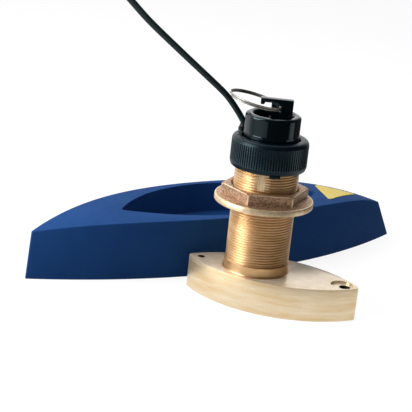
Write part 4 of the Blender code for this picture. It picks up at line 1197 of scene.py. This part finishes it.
@dataclass
class Fairing:
    """Block shaped like a hull, with the pocket for the base and an arrow at its bow."""

    half_long: float = 190.9 * MM
    top_half: float = 49.0 * MM
    foot_half: float = 41.5 * MM
    top: float = 52.4 * MM
    stern_top: float = 39.8 * MM
    bow_top: float = 34.0 * MM
    stern_rake: float = 3.2 * MM
    bow_rake: float = 17.6 * MM
    tip_half: float = 0.8 * MM
    edge: float = 0.9 * MM
    droop: float = 3.6  # the power by which the top falls off towards its ends
    place: Pair = (-51.64 * MM, 87.57 * MM)
    turn: float = math.radians(50.68)
    pocket_shift: float = -6.0 * MM
    pocket_half_long: float = 100.0 * MM
    pocket_half_width: float = 42.6 * MM
    pocket_tip_half: float = 1.6 * MM
    pocket_depth: float = 26.2 * MM
    hole_r: float = 26.6 * MM
    arrow: tuple[Pair, ...] = ((92.5, -24.5), (147.5, 3.4), (111.8, 23.0))  # in mm
    arrow_corner: float = 5.5 * MM
    arrow_thick: float = 0.6 * MM
    arrow_bands: int = 24  # strips in which the patch follows the curved top
    stations: int = 71  # cross-sections between the block's ends

    def top_span(self) -> Pair:
        """The middle and the half length of the top, which the raked ends shorten."""
        return (self.stern_rake - self.bow_rake) / 2, self.half_long - (self.stern_rake + self.bow_rake) / 2

    def height(self, share: float) -> float:
        """The top's height at a share of the length."""
        end = self.stern_top if share < 0 else self.bow_top
        return self.top - (self.top - end) * min(abs(share), 1.0) ** self.droop

    def corner(self, share: float, side: int, upper: bool) -> Vector:
        """One corner of a cross-section."""
        half = self.top_half if upper else self.foot_half
        across = self.tip_half + (half - self.tip_half) * (1 - share * share)
        if not upper:
            return Vector((share * self.half_long, side * across, 0))
        centre, long = self.top_span()
        return Vector((centre + share * long, side * across, self.height(share)))

    def to_place(self, piece: Piece) -> Piece:
        """Turn and move a piece made about the block's middle to where the block stands."""
        piece.data.transform(Matrix.Translation((*self.place, 0)) @ Matrix.Rotation(self.turn, 4, "Z"))
        return piece

    def make_block(self) -> Piece:
        """Divide a box along its length, swell it to a hull, round its edges and cut the pocket."""
        body = block("fairing_block", (-1, -1, 0), (1, 1, 1))
        with editing(body):
            pick(body, lambda e: abs(e.verts[0].co.x - e.verts[1].co.x) > 1)
            bpy.ops.mesh.subdivide(number_cuts=self.stations)
        for vert in body.data.vertices:
            even = vert.co.x
            share = 0.5 * math.sin(math.pi / 2 * even) + 0.5 * even
            vert.co = self.corner(share, 1 if vert.co.y > 0 else -1, vert.co.z > 0.5)
        tidy_shell(body)
        softened(body, self.edge, 4, 35)
        short, long = self.pocket_half_long - self.pocket_shift, self.pocket_half_long + self.pocket_shift
        tip, floor = self.pocket_tip_half, self.top - self.pocket_depth
        pocket = lens_block("pocket", short, long, self.pocket_half_width, tip, floor, self.top + SCRAP)
        cut(body, pocket)
        cut(body, drum("stem_hole", self.hole_r, -SCRAP, self.top, (self.pocket_shift, 0), 120))
        return finished(self.to_place(body), BLUE_GELCOAT, "fairing")

    def make_arrow(self) -> Piece:
        """Lay a round-cornered triangle on the sloping top."""
        stern = min(x for x, _ in self.arrow) * MM
        bow = max(x for x, _ in self.arrow) * MM
        corners = [(x * MM, y * MM, 0) for x, y in self.arrow]
        patch = drawn("arrow_patch", [*corners, corners[0]])
        with editing(patch, whole=True):
            fill_outline()
            bpy.ops.mesh.bevel(offset=self.arrow_corner, segments=8, affect="VERTICES")
            for step in range(1, self.arrow_bands):
                select_whole()
                place = stern + (bow - stern) * step / self.arrow_bands
                bpy.ops.mesh.bisect(plane_co=(place, 0, 0), plane_no=(1, 0, 0))
            select_whole()
            bpy.ops.mesh.extrude_region_move(TRANSFORM_OT_translate={"value": (0, 0, self.arrow_thick)})
        centre, long = self.top_span()
        for vert in patch.data.vertices:
            vert.co.z += self.height((vert.co.x - centre) / long) + 0.02 * MM
        tidy_shell(patch)
        return finished(self.to_place(patch), YELLOW_VINYL, "fairing_arrow")

    def make(self) -> None:
        """Build the block and its arrow."""
        self.make_block()
        self.make_arrow()


# Hidden pieces keep their own shapes

CARRIED_OVER = {
    "insert_body": TUBE_ACETAL,
    "lower_oring": NITRILE,
    "upper_oring": NITRILE,
    "paddle_axle": AXLE_STEEL,
    "temperature_probe": PROBE_BRASS,
    "sensor_board": SOLDER_MASK,
    "piezo_element": CERAMIC,
    "element_backing": CORK,
    "element_lead": LEAD_RED,
    "plug_contacts": GOLD,
}


def dress_carried_over(nodes: dict[str, Piece]) -> None:
    """Give the CAD nodes that stay their materials."""
    for name, finish in CARRIED_OVER.items():
        dressed(nodes[name], finish.build())
        log.info("%s keeps its shape in %s", name, finish.name)


# Studio


@dataclass(frozen=True)
class Wedge:
    """A bearing from which mirrors see white."""

    way: Pair
    span: Pair  # cosines to that bearing, where the white sets in and is full
    most: float  # how bright it is


@dataclass
class Studio:
    """Pale floor, soft lights and the photograph's camera."""

    camera_at: Triple = (221.694 * MM, -936.666 * MM, 373.501 * MM)
    right: Triple = (0.94741275, 0.30383345, 0.10047049)
    up: Triple = (-0.18275906, 0.25598537, 0.94924739)
    focal_px: float = 1274.149
    frame_px: float = 412.0
    sensor: float = 36.0
    floor_size: float = 6.0  # in metres
    fill: float = 0.42  # the world's strength on the object
    paper: str = "F4F4F4"  # the floor's tone
    bounce: str = "8C8C8C"  # its tone as it lights the object
    paper_rough: float = 0.9
    pool: Pair = (0.19, 0.5)  # mirrors see the floor bright to here, dark from there
    room_dark: float = 0.05
    sky: Wedge = Wedge((-0.819, 0.574), (0.0, 0.7), 1.15)  # the room's pale wall
    # Wedges of painted glow on the floor, white only to glossy rays: painted reflections of light
    floor_glow: tuple[Wedge, ...] = (
        Wedge((-0.819, 0.574), (0.0, 0.7), 0.75),  # towards the pale wall
        Wedge((-0.669, -0.743), (0.88, 1.0), 0.98),  # where the key lamp lights the floor
        Wedge((0.985, 0.17), (0.90, 0.99), 1.0),  # a painted glow on the floor, as from a white card at the right
    )
    shadow_kept: float = 0.22  # of the floor's own shading, in what the camera sees
    aim: Triple = (0, 0.02, 0.07)  # what the lamps face, in metres

    def make_camera(self) -> None:
        """Stand the camera where the photograph was taken from."""
        data = bpy.data.cameras.new("camera")
        data.sensor_width = self.sensor
        data.lens = self.focal_px / self.frame_px * self.sensor
        data.clip_start = 0.01
        data.clip_end = 20
        camera = linked("camera", data)
        right = Vector(self.right).normalized()
        up = (Vector(self.up) - right * Vector(self.up).dot(right)).normalized()
        turn = Matrix((right, up, right.cross(up))).transposed().to_4x4()
        camera.matrix_world = Matrix.Translation(self.camera_at) @ turn
        bpy.context.scene.camera = camera

    def white_for_eye(
        self, tree: NodeTree, plain: NodeSocket, white: Node, gloss: NodeSocket, keep: float
    ) -> Node:
        """Mix a plain shader with a white one that only the eye, glass and gloss see.

        Args:
            tree: The tree of the floor or the world.
            plain: The shader that lights the object.
            white: The node of the white shader.
            gloss: How bright the white is where a glossy surface mirrors it.
            keep: The share of the plain shader that stays in view, with its shadow.

        Returns:
            The mixing node.
        """
        path = add_node(tree, "LightPath", {}).outputs
        glossy = path["Is Glossy Ray"]
        eye = add_node(
            tree, "Math", {0: path["Is Camera Ray"], 1: path["Is Transmission Ray"]}, operation="MAXIMUM"
        )
        kept = add_node(tree, "Math", {0: eye, 1: 1 - keep}, operation="MULTIPLY")
        share = add_node(tree, "Math", {0: kept, 1: glossy}, operation="MAXIMUM")
        strength = add_node(tree, "Mix", {0: glossy, 2: EYE_WHITE, 3: gloss})
        tree.links.new(strength.outputs[0], white.inputs["Strength"])
        return add_node(tree, "MixShader", {0: share, 1: plain, 2: white})

    def towards(self, tree: NodeTree, direction: NodeSocket, wedge: Wedge, least: float) -> Node:
        """Make a value that rises as a direction turns to a wedge's bearing.

        Args:
            tree: The tree of the floor or the world.
            direction: The direction, one unit long.
            wedge: The bearing, its span and the value there.
            least: The value away from it.

        Returns:
            The node that gives the value.
        """
        cosine = add_node(tree, "VectorMath", {0: direction, 1: (*wedge.way, 0)}, operation="DOT_PRODUCT")
        return ranged(tree, cosine.outputs["Value"], wedge.span, (least, wedge.most))

    def make_floor(self) -> None:
        """Lay a pale floor that keeps a soft shadow, with a painted glow that only mirrors see near the
        object and in wedges, falling off into the dark of the room.
        """
        bpy.ops.mesh.primitive_plane_add(size=self.floor_size)
        floor = added("floor")
        paper = bpy.data.materials.new("white_paper")
        paper.use_nodes = True
        tree = paper.node_tree
        plain = tree.nodes["Principled BSDF"]
        path = add_node(tree, "LightPath", {}).outputs
        tones = {0: path["Is Diffuse Ray"], 6: linear(self.paper), 7: linear(self.bounce)}
        tone = add_node(tree, "Mix", tones, data_type="RGBA")
        tree.links.new(tone.outputs[2], plain.inputs["Base Color"])
        plain.inputs["Roughness"].default_value = self.paper_rough
        place = add_node(tree, "TexCoord", {}).outputs["Object"]
        reach = add_node(tree, "VectorMath", {0: place}, operation="LENGTH")
        seen = ranged(tree, reach.outputs["Value"], self.pool, (1.0, self.room_dark))
        bearing = add_node(tree, "VectorMath", {0: place}, operation="NORMALIZE")
        for wedge in self.floor_glow:
            lit = self.towards(tree, bearing.outputs[0], wedge, 0.0)
            seen = add_node(tree, "Math", {0: seen, 1: lit}, operation="MAXIMUM")
        white = add_node(tree, "Emission", {})
        mixed = self.white_for_eye(tree, plain.outputs[0], white, seen.outputs[0], self.shadow_kept)
        tree.links.new(mixed.outputs[0], tree.nodes["Material Output"].inputs["Surface"])
        floor.data.materials.append(paper)

    def make_world(self) -> None:
        """Surround the object with soft white, and leave the near side of the room dark to mirrors."""
        world = bpy.data.worlds.new("studio")
        bpy.context.scene.world = world
        world.use_nodes = True
        tree = world.node_tree
        plain = tree.nodes["Background"]
        plain.inputs["Color"].default_value = (1, 1, 1, 1)
        plain.inputs["Strength"].default_value = self.fill
        way = add_node(tree, "TexCoord", {}).outputs["Generated"]
        gloss = self.towards(tree, way, self.sky, self.room_dark)
        white = add_node(tree, "Background", {"Color": (1, 1, 1, 1)})
        mixed = self.white_for_eye(tree, plain.outputs[0], white, gloss.outputs[0], 0.0)
        tree.links.new(mixed.outputs[0], tree.nodes["World Output"].inputs["Surface"])

    def add_lamp(self, name: str, place: Sequence[float], size: Pair, power: float) -> None:
        """Hang one soft rectangular lamp that faces the object.

        Args:
            name: The lamp's name.
            place: Where it hangs, in metres.
            size: Its width and height.
            power: Its power in watts.
        """
        data = bpy.data.lights.new(name, "AREA")
        data.shape = "RECTANGLE"
        data.size, data.size_y = size
        data.energy = power
        lamp = linked(name, data)
        aim = Vector(self.aim) - Vector(place)
        lamp.matrix_world = Matrix.Translation(place) @ aim.to_track_quat("-Z", "Y").to_matrix().to_4x4()

    def make(self) -> None:
        """Set up the floor, the lights and the camera."""
        self.make_camera()
        self.make_floor()
        self.make_world()
        self.add_lamp("key_left", place=(-0.85, -0.62, 0.5), size=(0.7, 0.9), power=16.0)
        self.add_lamp("overhead", place=(-0.35, 0.4, 1.2), size=(1.1, 1.1), power=7.0)
        bpy.context.scene.view_settings.view_transform = "Standard"


def main() -> None:
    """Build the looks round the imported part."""
    logging.basicConfig(level=logging.INFO, format="%(message)s")
    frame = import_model()
    Studio().make()
    SignalCable().make(frame["nodes"])
    Housing().make()
    HullNut().make()
    CapNut().make()
    InsertCap().make()
    PullHandle().make()
    PullRing().make()
    Foot().make()
    Fairing().make()
    dress_carried_over(frame["nodes"])


if __name__ == "__main__":
    main()
